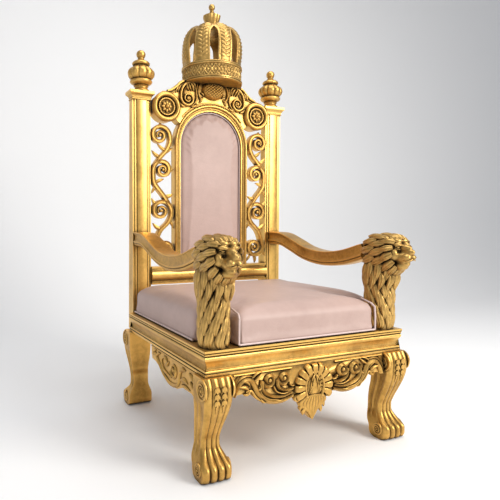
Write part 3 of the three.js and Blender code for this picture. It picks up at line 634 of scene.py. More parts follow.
def leg(toe, ankle, calf, heel, top_reach, rear=False):
    """Scrolled cabriole leg about X = 0, facing -Y, with reeds in front and a sunk panel at the sides."""
    front = profile([
        (0, 4 - toe * 0.35), (4, -toe * 0.55), (12, -toe * 0.86), (24, -toe - 1), (36, -toe - 1),
        (50, -toe * 0.78), (64, (ankle - toe) * 0.42),
        (80, ankle * 0.68), (97, ankle), (116, ankle), (145, ankle * 0.62), (190, -5), (232, -22),
        (262, -28), (292, -27.5), (310, -21), (LEG_TOP, -top_reach)
    ])
    back = profile(
        [
            (0, heel - 22), (6, heel - 10), (20, heel - 1), (40, heel + 1), (62, (heel + calf) / 2 + 2),
            (105, calf), (135, calf - 1), (165, calf - 7), (205, LEG_DEPTH + (calf - LEG_DEPTH) * 0.2),
            (240, LEG_DEPTH), (LEG_TOP, LEG_DEPTH)
        ]
    )
    levels = np.concatenate(
        [np.linspace(0, 60, 22), np.linspace(64, 130, 20), np.linspace(136, LEG_TOP, 34)]
    )
    across = np.linspace(-1, 1, 12 * REEDS + 1)
    inward = np.linspace(0, 1, 22)[1:-1]
    rings = []
    for z in levels:
        half, y0, y1 = leg_half_width(z), float(front(z)), float(back(z))
        foot = 1 - ease(z, 45, 110)
        under = ease(z, 0, 14)
        reed = np.abs(np.sin(across * math.pi * REEDS / 2))
        depth = 4.2 + 7.0 * foot * under + 1.2 * ease(z, 240, 300)
        round_off = (9 - 3 * foot) * np.abs(across) ** 3.2
        y = y0 + depth * (1 - reed**0.62) + round_off
        top = np.column_stack([across * half, y, np.full(len(across), z)])
        panel = ease(z, 66, 96) * (1 - ease(z, 232, 252))
        span0, span1 = y[-1], y1
        sink = 3.4 * panel * (
            (ease(inward, 0.08, 0.16) - ease(inward, 0.46, 0.52))
            + (ease(inward, 0.60, 0.66) - ease(inward, 0.84, 0.92))
        )
        right = np.column_stack([half - sink, span0 + (span1 - span0) * inward, np.full(len(inward), z)])
        back_x = np.linspace(half, -half, 7)
        rear_edge = np.column_stack([back_x, np.full(7, y1), np.full(7, z)])
        left = right[::-1] * (-1, 1, 1)
        rings.append(np.vstack([top, right, rear_edge, left]))
    work = Work().skin(rings)
    section = [(-1, 0.3), (-0.72, 0.85), (-0.35, 1), (0, 1), (0.35, 1), (0.72, 0.85), (1, 0.3)]
    for centre, radius, turns in (((5, 285), 35, 2.3), ((23, 34), 22.5, 2.1)):
        half = float(leg_half_width(centre[1]))
        coil = volute(centre, radius, 95, turns, clockwise=True, shrink=0.56, steps=70)
        disc = Work().turned(
            [(0, -4), (radius - 1.5, -4), (radius - 1, 0.4), (radius - 6, -0.6), (6, -0.6), (0, 0.2)], 40,
            centre=centre
        )
        roll = Work().stem(coil, lambda t: 1.9 + 2.0 * t, [(a, 3.4 * b) for a, b in section], back=-3.0)
        eye = Work().ball((centre[0], centre[1], 0.6), (radius * 0.17, radius * 0.17, 3.6), 16, 8)
        for part in (disc, roll, eye):
            side = part.changed(on_side(half + 0.2))
            work.take(side, side.mirrored())
    if not rear:
        for u in (-0.25, 0.25):
            for z in (300, 280, 260):
                half, y0 = float(leg_half_width(z)), float(front(z - 10))
                for turn in (-1, 0, 1):
                    base = np.array([u * half + turn * 2.0, y0 - 2.0, z])
                    tip = np.array([u * half + turn * 7.5, y0 - 4.6, z - 20 + abs(turn) * 5])
                    path = np.linspace(base, tip, 7)
                    work.blade(
                        path, lambda t: 4.2 * np.sin(np.clip(t * 0.93 + 0.07, 0, 1) * math.pi) ** 0.7 + 0.3,
                        lambda t: 3.2 - 2 * t, normal=(0, -1, 0), across=7, back=3
                    )
            path = np.array([(u * 47, float(front(z)) - 1.2, z) for z in np.linspace(242, 216, 7)])
            work.blade(
                path, lambda t: 3.6 * (1 - t) + 0.3, lambda t: 2.8 * (1 - t) + 0.3, normal=(0, -1, 0),
                across=7, back=3
            )
    return work


def legs():
    front = leg(21, 27, 88, 64, 14)
    pair("front_leg", front.changed(lambda p: p + (LEG_X, 0, 0)), GOLD, 50)
    rear = leg(38, 15, 68, 64, 24, rear=True)
    pair("rear_leg", rear.changed(lambda p: p * (1, -1, 1) + (LEG_X, REAR_LEG_Y, 0)), GOLD, 50)


legs()

# ------------------------------------------------------------------ posts, capitals and finials

POST_X, POST_HALF, POST_Y, POST_LOW_DEPTH, POST_HIGH_DEPTH = 342, 42, 742, 72, 46
POST_TOP, CAPITAL_TOP, CAPITAL_OVER = 1339, 1368, 14


def post():
    w = POST_HALF
    step = [
        (0, 6), (6.5, 6), (7.2, 7.4), (9.2, 7.4), (10, 3), (16.5, 3), (17.2, 4.6), (19.4, 4.6), (20.2, 0.3),
        (21, 0), (w, 0)
    ]
    face = [(-w + x, y) for x, y in step] + [(w - x, y) for x, y in step[-2::-1]]
    rows = []
    for z in np.linspace(RAIL_BOTTOM + 0.1, POST_TOP + 1, 14):
        depth = POST_LOW_DEPTH + (
            POST_HIGH_DEPTH - POST_LOW_DEPTH
        ) * (z - RAIL_BOTTOM) / (POST_TOP - RAIL_BOTTOM)
        ring = [(POST_X + x, POST_Y + y, z) for x, y in face]
        side = np.linspace(6, depth - 1, 5)[1:]
        ring += [(POST_X + w, POST_Y + y, z) for y in side] + [
            (POST_X + w - 1, POST_Y + depth, z), (POST_X - w + 1, POST_Y + depth, z)
        ]
        ring += [(POST_X - w, POST_Y + y, z) for y in side[::-1]]
        rows.append(ring)
    work = Work().skin(rows)
    cap = bend(
        [
            (2.5, POST_TOP + 1), (3, POST_TOP + 4), (6, POST_TOP + 9), (11.5, POST_TOP + 14.5),
            (CAPITAL_OVER - 0.8, POST_TOP + 17)
        ],
        10
    ).tolist()
    cap = [
        (0.3, POST_TOP - 9), (2.6, POST_TOP - 8.4), (3.2, POST_TOP - 6.5), (2.6, POST_TOP - 4.6),
        (0.8, POST_TOP - 4), (0.8, POST_TOP - 1), (2.4, POST_TOP)
    ] + cap
    cap += [
        (CAPITAL_OVER - 0.8, POST_TOP + 18), (CAPITAL_OVER, POST_TOP + 18.6),
        (CAPITAL_OVER, CAPITAL_TOP - 1.2), (CAPITAL_OVER - 1.2, CAPITAL_TOP)
    ]
    rows = []
    for grow, z in cap:
        x0, x1 = POST_X - w - grow, POST_X + w + grow
        y0, y1 = POST_Y - grow, POST_Y + POST_HIGH_DEPTH + grow
        b = 0.9
        rows.append(
            [
                (x0 + b, y0, z), (x1 - b, y0, z), (x1, y0 + b, z), (x1, y1 - b, z), (x1 - b, y1, z),
                (x0 + b, y1, z), (x0, y1 - b, z), (x0, y0 + b, z)
            ]
        )
    return work.skin(rows)


pair("back_post", post(), BURNISHED, 30)

FINIAL_X = 337


def finial():
    low = CAPITAL_TOP + 0.3
    base = [
        (0, low), (36, low), (37, low + 1.5), (37, low + 4), (34, low + 7), (29, low + 12), (28, low + 17),
        (29.5, low + 21), (33, low + 23), (31, low + 26), (30, low + 28), (36, low + 31)
    ]
    ring = [(46, low + 36), (49, low + 41), (49, low + 44), (46, low + 49), (38, low + 53), (0, low + 54)]
    work = Work().turned(base + ring, 48, centre=(FINIAL_X, 0))
    bulb = bend([(33, 1416), (48, 1424), (58, 1437), (59.4, 1449), (55, 1460), (42, 1471), (30, 1477)], 22)

    def gadroon(angle, radius, height):
        return -0.115 * radius * (1 - np.abs(np.cos(angle * 4.5)) ** 0.55)

    work.turned([(0, 1416), *bulb.tolist(), (0, 1477)], 108, gadroon, centre=(FINIAL_X, 0))
    neck = [(0, 1470), (30, 1471), (31.5, 1474), (30, 1477), (31, 1479)] + bend(
        [(33, 1480), (38.5, 1485), (39, 1490), (33, 1497), (21, 1503), (15, 1508)], 16
    ).tolist()
    ball = bend([(13.5, 1515), (18, 1520), (20, 1529), (18, 1538), (10, 1545.6), (0, 1548.8)], 14).tolist()
    work.turned(neck + [(14.4, 1509), (15, 1511), (13.6, 1513)] + ball, 40, centre=(FINIAL_X, 0))
    return work.changed(lambda p: p + (0, POST_Y + POST_HIGH_DEPTH / 2, 0))


pair("finial", finial(), GOLD, 60)

# ------------------------------------------------------------------ arched frame and bottom rail of the back

ARCH_OUT, ARCH_IN, ARCH_SPRING, ARCH_LOW, ARCH_Y, ARCH_BACK = 188, 158, 1153, 600, 731, 775


def arch_line(half, low, steps=56):
    """(x, z) from the right foot over the arch to the left foot."""
    a = np.linspace(0, math.pi, steps + 1)
    arc = np.column_stack([half * np.cos(a), ARCH_SPRING + half * np.sin(a)])
    run = np.linspace(low, ARCH_SPRING, 12)[:-1]
    right = np.column_stack([np.full(len(run), half), run])
    return np.vstack([right, arc, (right * (-1, 1))[::-1]])


def arch_frame():
    torus = bend([(0.6, 9.5), (1.2, 4), (5, 0.4), (9, 0.6), (12.6, 4.6), (13.6, 8.6)], 14)
    section = [
        (0, ARCH_BACK - ARCH_Y), (0, 10.5), *torus.tolist(), (14.2, 9.4), (15.4, 8.4), (18, 8), (20, 9.2),
        (20.8, 11.4), (23, 13), (26.4, 13), (27.6, 11), (29.2, 11.2), (30, 13), (30, ARCH_BACK - ARCH_Y)
    ]
    lines = [arch_line(ARCH_OUT - inset, ARCH_LOW + 0.3) for inset, _ in section]
    rows = [
        [(lines[k][i][0], ARCH_Y + section[k][1], lines[k][i][1]) for k in range(len(section))]
        for i in range(len(lines[0]))
    ]
    dress(to_object("arch_frame_moulded", Work().skin(rows), 30), BURNISHED, "arch_frame")


arch_frame()


def back_bottom_rail():
    low, front, deep = 521, 729, 790
    roll = bend([(4.4, 22), (1, 27), (0, 34), (0, 44), (1.4, 52), (4.4, 58)], 16)
    section = [
        (deep - front, 0), (9, 0), (8, 0.8), (8, 7), (9, 8), (12.6, 9), (13, 12), (11, 13), (10.6, 15.4),
        (12.8, 17), (12.6, 20), *roll.tolist(), (12.4, 60), (12.8, 63), (10.8, 65), (11.2, 67), (9, 69),
        (8, 70), (8, 78), (9, 79), (deep - front, 79)
    ]
    reach = POST_X - POST_HALF - 0.3
    rows = [[(x, front + y, low + z) for y, z in section] for x in np.linspace(-reach, reach, 9)]
    dress(to_object("back_bottom_rail_moulded", Work().skin(rows), 30), BURNISHED, "back_bottom_rail")


back_bottom_rail()

# ------------------------------------------------------------------ arms

ARM_X, ARM_HALF, ARM_THICK, ARM_START, ARM_END = 349, 35, 60, 118, 741.7


def arm():
    line = [(ARM_END, 725), (650, 720), (560, 692), (470, 661), (351, 645), (230, 655), (ARM_START, 684)]
    path = bend(line, 44)
    along = np.gradient(path, axis=0)
    along /= np.linalg.norm(along, axis=1)[:, None]
    up = np.column_stack([-along[:, 1], along[:, 0]])
    up[up[:, 1] < 0] *= -1
    up[[0, -1]] = (0, 1)
    h, w = ARM_THICK / 2, ARM_HALF
    cove = bend(
        [(w - 3.5, h - 8), (w - 6.5, h - 14), (w - 7.5, h - 24), (w - 6, h - 33), (w - 3, h - 38)], 12
    ).tolist()
    half = [
        (w - 4, h), (w - 1.2, h - 0.7), (w, h - 2.2), (w, h - 4.4), (w - 1.4, h - 5.6), (w - 2.6, h - 5.8),
        (w - 2.8, h - 7), *cove
    ]
    half += [
        (w - 1, h - 38.6), (w, h - 41), (w - 0.3, h - 44), (w - 2.4, h - 46), (w - 5, h - 46.4),
        (w - 3.6, h - 48), (w - 3, h - 50.6), (w - 4.4, h - 54), (w - 8, h - 57.4), (w - 13, h - 59.4),
        (w - 20, -h)
    ]
    top = [(x, h + 1.0 * (1 - (x / (w - 4)) ** 2)) for x in np.linspace(-(w - 4), w - 4, 9)[1:-1]]
    section = half + [(-x, z) for x, z in half[::-1]] + top
    rows = []
    for (y, z), (uy, uz) in zip(path, up):
        rows.append([(ARM_X + x, y + uy * lift, z + uz * lift) for x, lift in section])
    return Work().skin(rows)


pair("arm", arm(), GOLD, 34)

# ------------------------------------------------------------------ carved ribbons

ROUND = [
    (-1, 0.1), (-0.86, 0.5), (-0.6, 0.84), (-0.3, 0.97), (0, 1), (0.3, 0.97), (0.6, 0.84), (0.86, 0.5),
    (1, 0.1)
]
CHANNEL = [
    (-1, 0.35), (-0.97, 0.82), (-0.86, 1), (-0.74, 0.92), (-0.6, 0.6), (-0.3, 0.48), (0, 0.44), (0.3, 0.48),
    (0.6, 0.6), (0.74, 0.92), (0.86, 1), (0.97, 0.82), (1, 0.35)
]
RIDGE = [
    (-1, 0.2), (-0.8, 0.5), (-0.45, 0.66), (-0.2, 0.86), (0, 1), (0.2, 0.86), (0.45, 0.66), (0.8, 0.5),
    (1, 0.2)
]


def shaped(section, height):
    return [(a, b * height) for a, b in section]


def leaf(work, start, middle, tip, width, height, grooves=2, lift=0.0, groove=1.6):
    """Small carved leaf on the (u, v) plane, bent through a middle point."""
    path = bend([start, middle, tip], 12)
    rise = np.linspace(0, 1, len(path))
    path = np.column_stack([path, lift + height * 0.35 * np.sin(rise * math.pi)])
    return work.blade(
        path,
        lambda t: width * (np.sin(np.clip(0.16 + t * 0.84, 0, 1) * math.pi) ** 0.75) + 0.35,
        lambda t: height * (1 - 0.55 * t),
        grooves=grooves,
        groove=groove,
        across=11,
        back=height * 0.7 + lift,
    )


# ------------------------------------------------------------------ pierced scroll panels

PANEL_FACE, PANEL_BACK, VINE_HALF = 745, 772, 9
VINE_VOLUTES = [
    ((257, 1184), 49, 180, False), ((243, 1033), 46, 0, True), ((252, 850), 51, 180, False),
    ((236, 682), 50, 0, False)
]
VINE_LEAVES = [
    ((252, 1222), (256, 1232), (258, 1240), 8),
    ((226, 1116), (250, 1128), (272, 1148), 8),
    ((228, 1108), (214, 1122), (196, 1132), 7),
    ((254, 1086), (278, 1096), (297, 1116), 9),
    ((222, 1032), (206, 1034), (191, 1038), 9),
    ((284, 972), (262, 984), (238, 992), 8),
    ((276, 956), (288, 944), (298, 926), 7),
    ((238, 914), (216, 916), (194, 926), 9),
    ((272, 872), (288, 888), (298, 906), 8),
    ((212, 806), (202, 792), (192, 770), 7),
    ((248, 766), (274, 776), (294, 796), 9),
    ((278, 666), (290, 652), (298, 636), 8),
    ((214, 642), (204, 630), (194, 612), 7),
    ((234, 640), (240, 622), (238, 602), 9),
]


def scroll_panel():
    deep = PANEL_FACE - PANEL_BACK
    coils = [
        volute(c, r - 1, end, 1.62, clockwise=cw, shrink=0.44, steps=64) for c, r, end, cw in VINE_VOLUTES
    ]
    runs = [
        np.vstack(
            [coils[0], bend([coils[0][-1], (208, 1160), (222, 1125), (258, 1084), (286, 1044)], 28)[1:]]
        ),
        np.vstack(
            [coils[1], bend([coils[1][-1], (288, 1008), (284, 975), (238, 915), (203, 862)], 28)[1:]]
        ),
        np.vstack(
            [
                coils[2], bend([coils[2][-1], (204, 828), (218, 800), (258, 758), coils[3][-1]], 28)[1:-1],
                coils[3][::-1]
            ]
        ),
    ]
    widths = [
        lambda t: VINE_HALF * (0.42 + 0.58 * np.minimum(1, 2.2 * t)),
        lambda t: VINE_HALF * (0.42 + 0.58 * np.minimum(1, 2.2 * t)),
        lambda t: VINE_HALF * (0.42 + 0.58 * np.minimum(1, 3.4 * np.minimum(t, 1 - t)))
    ]
    work = Work()
    for run, width in zip(runs, widths):
        work.stem(run, width, shaped(CHANNEL, 6.0), back=deep)
    for (x, z), radius, _, _ in VINE_VOLUTES:
        work.ball((x, z, 1.5), (radius * 0.155, radius * 0.155, 6.5), 20, 10)
        work.ball((x, z, -14), (radius * 0.15, radius * 0.15, 12.5), 16, 8)
    for start, middle, tip, width in VINE_LEAVES:
        leaf(work, start, middle, tip, width, 5.5, lift=-3.0)
    limit = lambda p: np.column_stack([p[:, 0], p[:, 1], np.maximum(p[:, 2], deep)])
    return work.changed(limit).changed(on_front(PANEL_FACE))


pair("scroll_panel", scroll_panel(), GOLD, 50)

# ------------------------------------------------------------------ rosettes and crest

ROSETTE_AT, CREST_Y, CREST_BACK, CREST_TOP, SPANDREL_LOW = (232, 1308), 735, 790, 1427.7, 1236
BAND_R, CROWN_Y = 136, 745


def rosette():
    ring = bend(
        [(65.5, 2), (65.8, 8), (62, 16.5), (55, 20), (48.5, 17.6), (45, 11), (43.4, 5.5)], 22
    ).tolist()
    outline = [
        (0, 0.3), (65.3, 0.3), *ring, (41.6, 4.6), (40, 6.4), (39.2, 11.4), (37.6, 14), (35, 14.6),
        (32.8, 12.6), (31.6, 8), (29, 5.2), (24, 4.6), (0, 4.6)
    ]

    def bead(angle, radius, height):
        return 1.1 * np.cos(angle * 26) if 34 < radius < 41 and height > 6 else 0 * angle

    work = Work().turned(outline, 104, bead)
    for k in range(8):
        a = k * math.pi / 4
        out = np.array((math.cos(a), math.sin(a)))
        path = np.array([[*(out * r), h] for r, h in ((5, 7), (10, 10.5), (15, 12), (20, 11), (24.5, 7.6))])
        work.blade(
            bend(path, 8), lambda t: 7.4 * np.sin(np.clip(0.12 + 0.86 * t, 0, 1) * math.pi) ** 0.6 + 0.2,
            lambda t: 3.6 + 0 * t, grooves=1, groove=1.6, across=9, back=5
        )
    work.ball((0, 0, 14), (8.5, 8.5, 11.7), 24, 12)
    return work.changed(on_axis(ROSETTE_AT, CREST_Y - 0.3))


pair("rosette", rosette(), GOLD, 60)


def crest_outline():
    side = BAND_R + 8
    shoulder = bend(
        [
            (side + 1, CREST_TOP + 7), (160, 1429), (176, 1415), (189, 1403), (205, 1391), (223, 1382),
            (250, 1376)
        ],
        18
    ).tolist()
    around = [
        (ROSETTE_AT[0] + 62 * math.cos(a), ROSETTE_AT[1] + 62 * math.sin(a))
        for a in np.radians(np.linspace(62, -135, 26))
    ]
    arch = [p for p in arch_line(ARCH_OUT + 0.4, ARCH_LOW).tolist() if p[1] > SPANDREL_LOW and p[0] > 0]
    half = [(side, CREST_TOP), *shoulder, *around, *arch]
    return half + [(-x, z) for x, z in half[::-1]]


def boss():
    """Domed cone of crossed ribs in the middle of the crest."""
    rows, columns, rx, rz = 56, 168, 55, 42
    a = np.linspace(0, 2 * math.pi, columns, endpoint=False)
    rings = []
    for r in np.linspace(1, 0.02, rows):
        u, v = rx * r * np.cos(a), rz * r * np.sin(a)
        dome = 30 * np.sqrt(max(0.0, 1 - r * r)) + 2
        p, q = (u * 0.8 + v) / 13, (u * 0.8 - v) / 13
        stud = 4.6 * np.minimum(
            np.abs(np.sin(p * math.pi)), np.abs(np.sin(q * math.pi))
        ) ** 0.6 * min(1, 6 * (1 - r))
        rings.append(np.column_stack([u, 1404 + v, dome + stud]))
    base = [np.column_stack([rx * np.cos(a), 1404 + rz * np.sin(a), np.full(columns, -6.0)])]
    return Work().skin(base + rings)


def crest_carving():
    """Right half of the relief: edge roll, C-scroll with leaf fingers, and the leaf beside the boss."""
    work = Work()
    roll = bend([(146, 1431), (161, 1424), (176, 1409), (190, 1397), (206, 1386), (226, 1378)], 30)
    work.stem(roll, 6.4, shaped(ROUND, 10), back=-3)
    work.stem(roll + (-9.5, -8), 2.4, shaped(ROUND, 5), back=-3)
    coil = volute((128, 1355), 35, 0, 1.75, shrink=0.46, steps=72)
    run = np.vstack([coil, bend([coil[-1], (162, 1376), (156, 1398), (141, 1417), (118, 1431)], 26)[1:]])
    work.stem(
        run, lambda t: 2.6 + 3.6 * np.minimum(1, 1.6 * t), shaped(ROUND, 13), back=-2,
        lift=lambda t: 1.0 + 3.0 * (1 - t)
    )
    inner = bend([(150, 1362), (147, 1386), (136, 1406), (116, 1421)], 20)
    work.stem(
        inner, lambda t: 5.2 * np.sin(np.clip(t * 0.9 + 0.1, 0, 1) * math.pi) ** 0.6 + 0.6,
        shaped(RIDGE, 11), back=-2
    )
    work.ball((128, 1355, 9), (8.5, 8.5, 9), 24, 12)
    for start, middle, tip, width in [
        ((112, 1430), (98, 1424), (92, 1408), 6.5),
        ((118, 1428), (105, 1412), (99, 1392), 7.5),
        ((126, 1424), (120, 1408), (110, 1393), 6.5),
        ((134, 1418), (131, 1404), (122, 1392), 6.0),
    ]:
        leaf(work, start, middle, tip, width, 13, grooves=1, groove=2.2)
    for path, width, height in [
        ([(66, 1428), (74, 1410), (76, 1388), (70, 1370), (60, 1360), (54, 1364), (57, 1371)], 4.6, 13),
        ([(80, 1428), (85, 1406), (86, 1384), (84, 1364), (89, 1346), (101, 1331), (116, 1322)], 4.2, 11),
        ([(90, 1427), (93, 1410), (93, 1394)], 3.0, 9),
    ]:
        work.stem(
            bend(path, 34), lambda t,
            w=width: w * (0.35 + 0.65 * np.sin(np.clip(t * 0.94 + 0.06, 0, 1) * math.pi) ** 0.6),
            shaped(ROUND, height), back=-2
        )
    for start, middle, tip, width in [
        ((62, 1388), (52, 1382), (46, 1372), 5),
        ((68, 1372), (62, 1352), (72, 1343), 6),
        ((146, 1318), (160, 1324), (170, 1336), 7),
        ((108, 1322), (92, 1326), (80, 1338), 6),
        ((176, 1402), (183, 1388), (186, 1376), 6),
        ((166, 1408), (172, 1392), (176, 1380), 6),
    ]:
        leaf(work, start, middle, tip, width, 9, grooves=1, groove=1.8)
    band = arch_line(ARCH_OUT + 5.5, ARCH_LOW, 80)
    band = band[(band[:, 1] > 1268) & (band[:, 0] >= 0)]
    work.stem(band, 3.4, shaped(ROUND, 4.5), back=-2)
    return work


def crest():
    half = crest_carving()
    board = Work().board(crest_outline(), CREST_Y - CREST_BACK, 0)
    work = board.take(half, half.mirrored(), boss())
    edge = 0.4
    fit = lambda p: np.column_stack(
        [
            p[:, 0], np.where(np.abs(p[:, 0]) < BAND_R + 7, np.minimum(p[:, 1], CREST_TOP - edge), p[:, 1]),
            p[:, 2]
        ]
    )
    dress(to_object("crest_carved", work.changed(fit).changed(on_front(CREST_Y)), 50), GOLD, "crest")


crest()

# ------------------------------------------------------------------ crown

BAND_LOW, BAND_TOP, STRAPS, STRAP_HALF, CROWN_TOP = 1428, 1506, 8, 31, 1800


def crown_band():
    """Band with a lattice of crosses and florets between double rims; closed underneath."""
    columns, period = 364, 14
    rim_low = [
        (0, BAND_LOW), (BAND_R - 30, BAND_LOW), (BAND_R + 2.5, BAND_LOW), (BAND_R + 4, BAND_LOW + 1.4),
        (BAND_R + 4, BAND_LOW + 4), (BAND_R + 2, BAND_LOW + 5.4), (BAND_R + 2, BAND_LOW + 6.4),
        (BAND_R + 4.6, BAND_LOW + 8), (BAND_R + 4.6, BAND_LOW + 11), (BAND_R + 2, BAND_LOW + 13),
        (BAND_R - 1, BAND_LOW + 14)
    ]
    field = [(BAND_R - 1, z) for z in np.linspace(BAND_LOW + 15, BAND_TOP - 16, 19)]
    rim_top = [
        (BAND_R - 1, BAND_TOP - 15), (BAND_R + 2, BAND_TOP - 14), (BAND_R + 4, BAND_TOP - 12),
        (BAND_R + 4, BAND_TOP - 9), (BAND_R + 1.6, BAND_TOP - 7.4), (BAND_R + 1.6, BAND_TOP - 6.4),
        (BAND_R + 3, BAND_TOP - 5), (BAND_R + 3, BAND_TOP - 2), (BAND_R + 1, BAND_TOP)
    ]
    inside = [(BAND_R - 8, BAND_TOP), (BAND_R - 8, BAND_LOW + 9), (0, BAND_LOW + 9)]
    low, high = BAND_LOW + 15, BAND_TOP - 16

    def lattice(angle, radius, height):
        if not (low + 0.5 < height < high - 0.5) or radius < BAND_R - 2:
            return 0 * angle
        u = (angle * columns / (2 * math.pi) / period) % 1.0 - 0.5
        v = (height - low) / (high - low) - 0.5
        cross = np.exp(-((np.abs(u) - np.abs(v)) ** 2) / 0.006)
        floret = np.exp(-((np.hypot(u * 0.72, v) / 0.13) ** 4)) + 0.9 * np.exp(
            -((np.hypot((np.abs(u) - 0.5) * 0.72, v) / 0.12) ** 4)
        )
        pearl = np.exp(-((np.hypot(u * 0.72, np.abs(v) - 0.4) / 0.09) ** 4))
        return -2.8 + 5.2 * np.maximum.reduce([cross * 0.8, floret, pearl * 0.8])

    return Work().turned(rim_low + field + rim_top + inside, columns, lattice)


def crown_strap():
    """One arch of the crown from the band to the dome, with raised rims and a feathered middle."""
    line = bend(
        [
            (BAND_R - 5, BAND_TOP - 4), (BAND_R - 4, 1530), (BAND_R - 1, 1562), (BAND_R - 2, 1602),
            (BAND_R - 12, 1638), (BAND_R - 32, 1665), (76, 1682), (52, 1688), (34, 1690)
        ],
        84
    )
    along = np.gradient(line, axis=0)
    along /= np.linalg.norm(along, axis=1)[:, None]
    outward = np.column_stack([along[:, 1], -along[:, 0]])
    run = np.concatenate([[0], np.cumsum(np.linalg.norm(np.diff(line, axis=0), axis=1))])
    u = np.linspace(-1, 1, 25)
    rows = []
    for (r, z), (ox, oz), s in zip(line, outward, run):
        half = min(STRAP_HALF + 3 + 14 * float(ease(z, 1636, 1676)), r * math.tan(math.pi / STRAPS) - 0.4)
        rim = np.exp(-(((np.abs(u) - 0.86) / 0.1) ** 4))
        middle = (1 - ease(np.abs(u), 0.6, 0.74)) * float(
            ease(z, BAND_TOP + 14, BAND_TOP + 26)
        ) * (1 - float(ease(z, 1676, 1688)))
        barb = 0.5 + 0.5 * np.cos((s - np.abs(u) * 20) * 2 * math.pi / 17)
        vein = np.exp(-((u / 0.07) ** 2))
        h = 1.4 * rim - 3 + 5.5 * (1 - u * u) + middle * (
            1.4 + 4.4 * barb**1.2 * (1 - 0.35 * np.abs(u) / 0.7)
        ) - 1.6 * vein * middle
        h -= 1.0 * np.exp(-(((np.abs(u) - 0.7) / 0.05) ** 2))
        top = np.column_stack([r + ox * h, u * half, z + oz * h])
        low = np.column_stack(
            [np.full(5, r - ox * 9), np.linspace(0.96, -0.96, 5) * half, np.full(5, z - oz * 9)]
        )
        rows.append(np.vstack([top, low]))
    return Work().skin(rows)


def turned_about(work, angle):
    c, s = math.cos(angle), math.sin(angle)
    return work.changed(
        lambda p: np.column_stack([c * p[:, 0] - s * p[:, 1], s * p[:, 0] + c * p[:, 1], p[:, 2]])
    )


def crown():
    work = crown_band()
    strap = crown_strap()
    for k in range(STRAPS):
        work.take(turned_about(strap, math.pi / 2 + k * 2 * math.pi / STRAPS))
    work.turned(
        [(0, 1668), (60, 1670), (76, 1676), (60, 1686), (40, 1690), (39, 1693), (34, 1694), (0, 1694)], 64
    )

    def tulip(angle, radius, height):
        return (
            1.0 + 2.6 * float(ease(height, 1698, 1740))
        ) * np.abs(np.cos(angle * 4)) ** 0.7 - 2.6 if radius > 26 and 1694 < height < 1745 else 0 * angle

    side = bend([(33, 1694), (30, 1699), (32, 1712), (37, 1728), (40.5, 1742)], 22).tolist()
    cup = [
        (0, 1688), (34, 1689), (36, 1690), (36, 1692), (34, 1693), *side, (40.6, 1744), (36, 1747),
        (26, 1751), (14, 1753), (0, 1753)
    ]
    work.turned(cup, 96, tulip)
    orb = [
        (0, 1744), (11, 1748), (9, 1754), (8.2, 1762), (10.5, 1764), (10.5, 1767), (8, 1769), (7.4, 1772)
    ]
    work.turned(
        orb
        + bend([(10, 1774), (14.2, 1781), (14.4, 1789), (9.5, 1797), (0, CROWN_TOP - 0.2)], 14).tolist(),
        40
    )
    work = work.changed(lambda p: p + (0, CROWN_Y, 0))
    dress(to_object("crown_carved", work, 50), LION_GOLD, "crown")


crown()

# ------------------------------------------------------------------ front apron

APRON_X, APRON_BOARD, APRON_FRONT, APRON_TOP = 314.5, 4, -13.8, 322.5


def apron_side(work):
    """Right half of the pierced scroll band between the shell and the leg."""
    low = bend(
        [(APRON_X, 250), (280, 256), (245, 252), (205, 222), (165, 209), (110, 214), (50, 222)], 40
    ).tolist()
    board = [(APRON_X, APRON_TOP), *low, (0, 222), (0, APRON_TOP)]
    work.board(board, -26, 0.5)
    taper = lambda w: (lambda t: w * (0.3 + 0.7 * np.sin(np.clip(0.14 + 0.8 * t, 0, 1) * math.pi) ** 0.6))
    for path, width, height in [
        (
            [(306, 252), (294, 278), (270, 300), (240, 292), (218, 254), (180, 224), (132, 215), (84, 226)],
            10, 16
        ),
        ([(306, 276), (292, 300), (266, 312), (238, 308)], 6, 11),
        ([(312, 262), (302, 292), (288, 314)], 5.5, 10),
        ([(262, 262), (244, 264), (224, 240), (196, 220)], 5, 9),
    ]:
        work.stem(bend(path, 56), taper(width), shaped(RIDGE if width > 5.2 else ROUND, height), back=-2)
    for (cx, cz), radius, tail in [
        ((178, 290), 25, [(204, 286), (200, 258), (170, 236), (126, 230), (88, 238)]),
        ((122, 290), 24, [(147, 284), (140, 262), (114, 248), (84, 250)])
    ]:
        coil = volute((cx, cz), radius, 0, 1.6, shrink=0.42, steps=56)
        run = np.vstack([coil, bend([coil[-1], *tail[1:]], 26)[1:]])
        work.stem(
            run, lambda t: 3.4 + 4.6 * np.sin(np.clip(0.9 * t, 0, 1) * math.pi) ** 0.7, shaped(RIDGE, 15),
            back=-2, lift=lambda t: 1.5 * (1 - t)
        )
        work.ball((cx, cz, 9), (7.5, 7.5, 8.4), 22, 11)
    for path, width in [
        ([(216, 274), (204, 246), (176, 228), (140, 222)], 3.4),
        ([(160, 268), (150, 250), (124, 240), (92, 244)], 3.4), ([(100, 272), (92, 262), (78, 260)], 3.6)
    ]:
        work.stem(bend(path, 30), taper(width), shaped(ROUND, 12), back=-2)
    for start, middle, tip, width in [
        ((284, 282), (262, 276), (250, 262), 8),
        ((276, 300), (256, 292), (246, 276), 6.5),
        ((230, 296), (214, 306), (202, 316), 6),
        ((222, 262), (208, 268), (210, 282), 5.5),
        ((250, 262), (258, 254), (272, 256), 6),
        ((206, 230), (198, 222), (184, 219), 5),
        ((150, 220), (136, 218), (122, 222), 5),
        ((240, 306), (222, 318), (200, 320), 5),
    ]:
        leaf(work, start, middle, tip, width, 11, grooves=1, groove=2.0)
    work.stem(np.array([(306, 318.5), (90, 318.5)]), 3.2, shaped(ROUND, 7), back=-2)


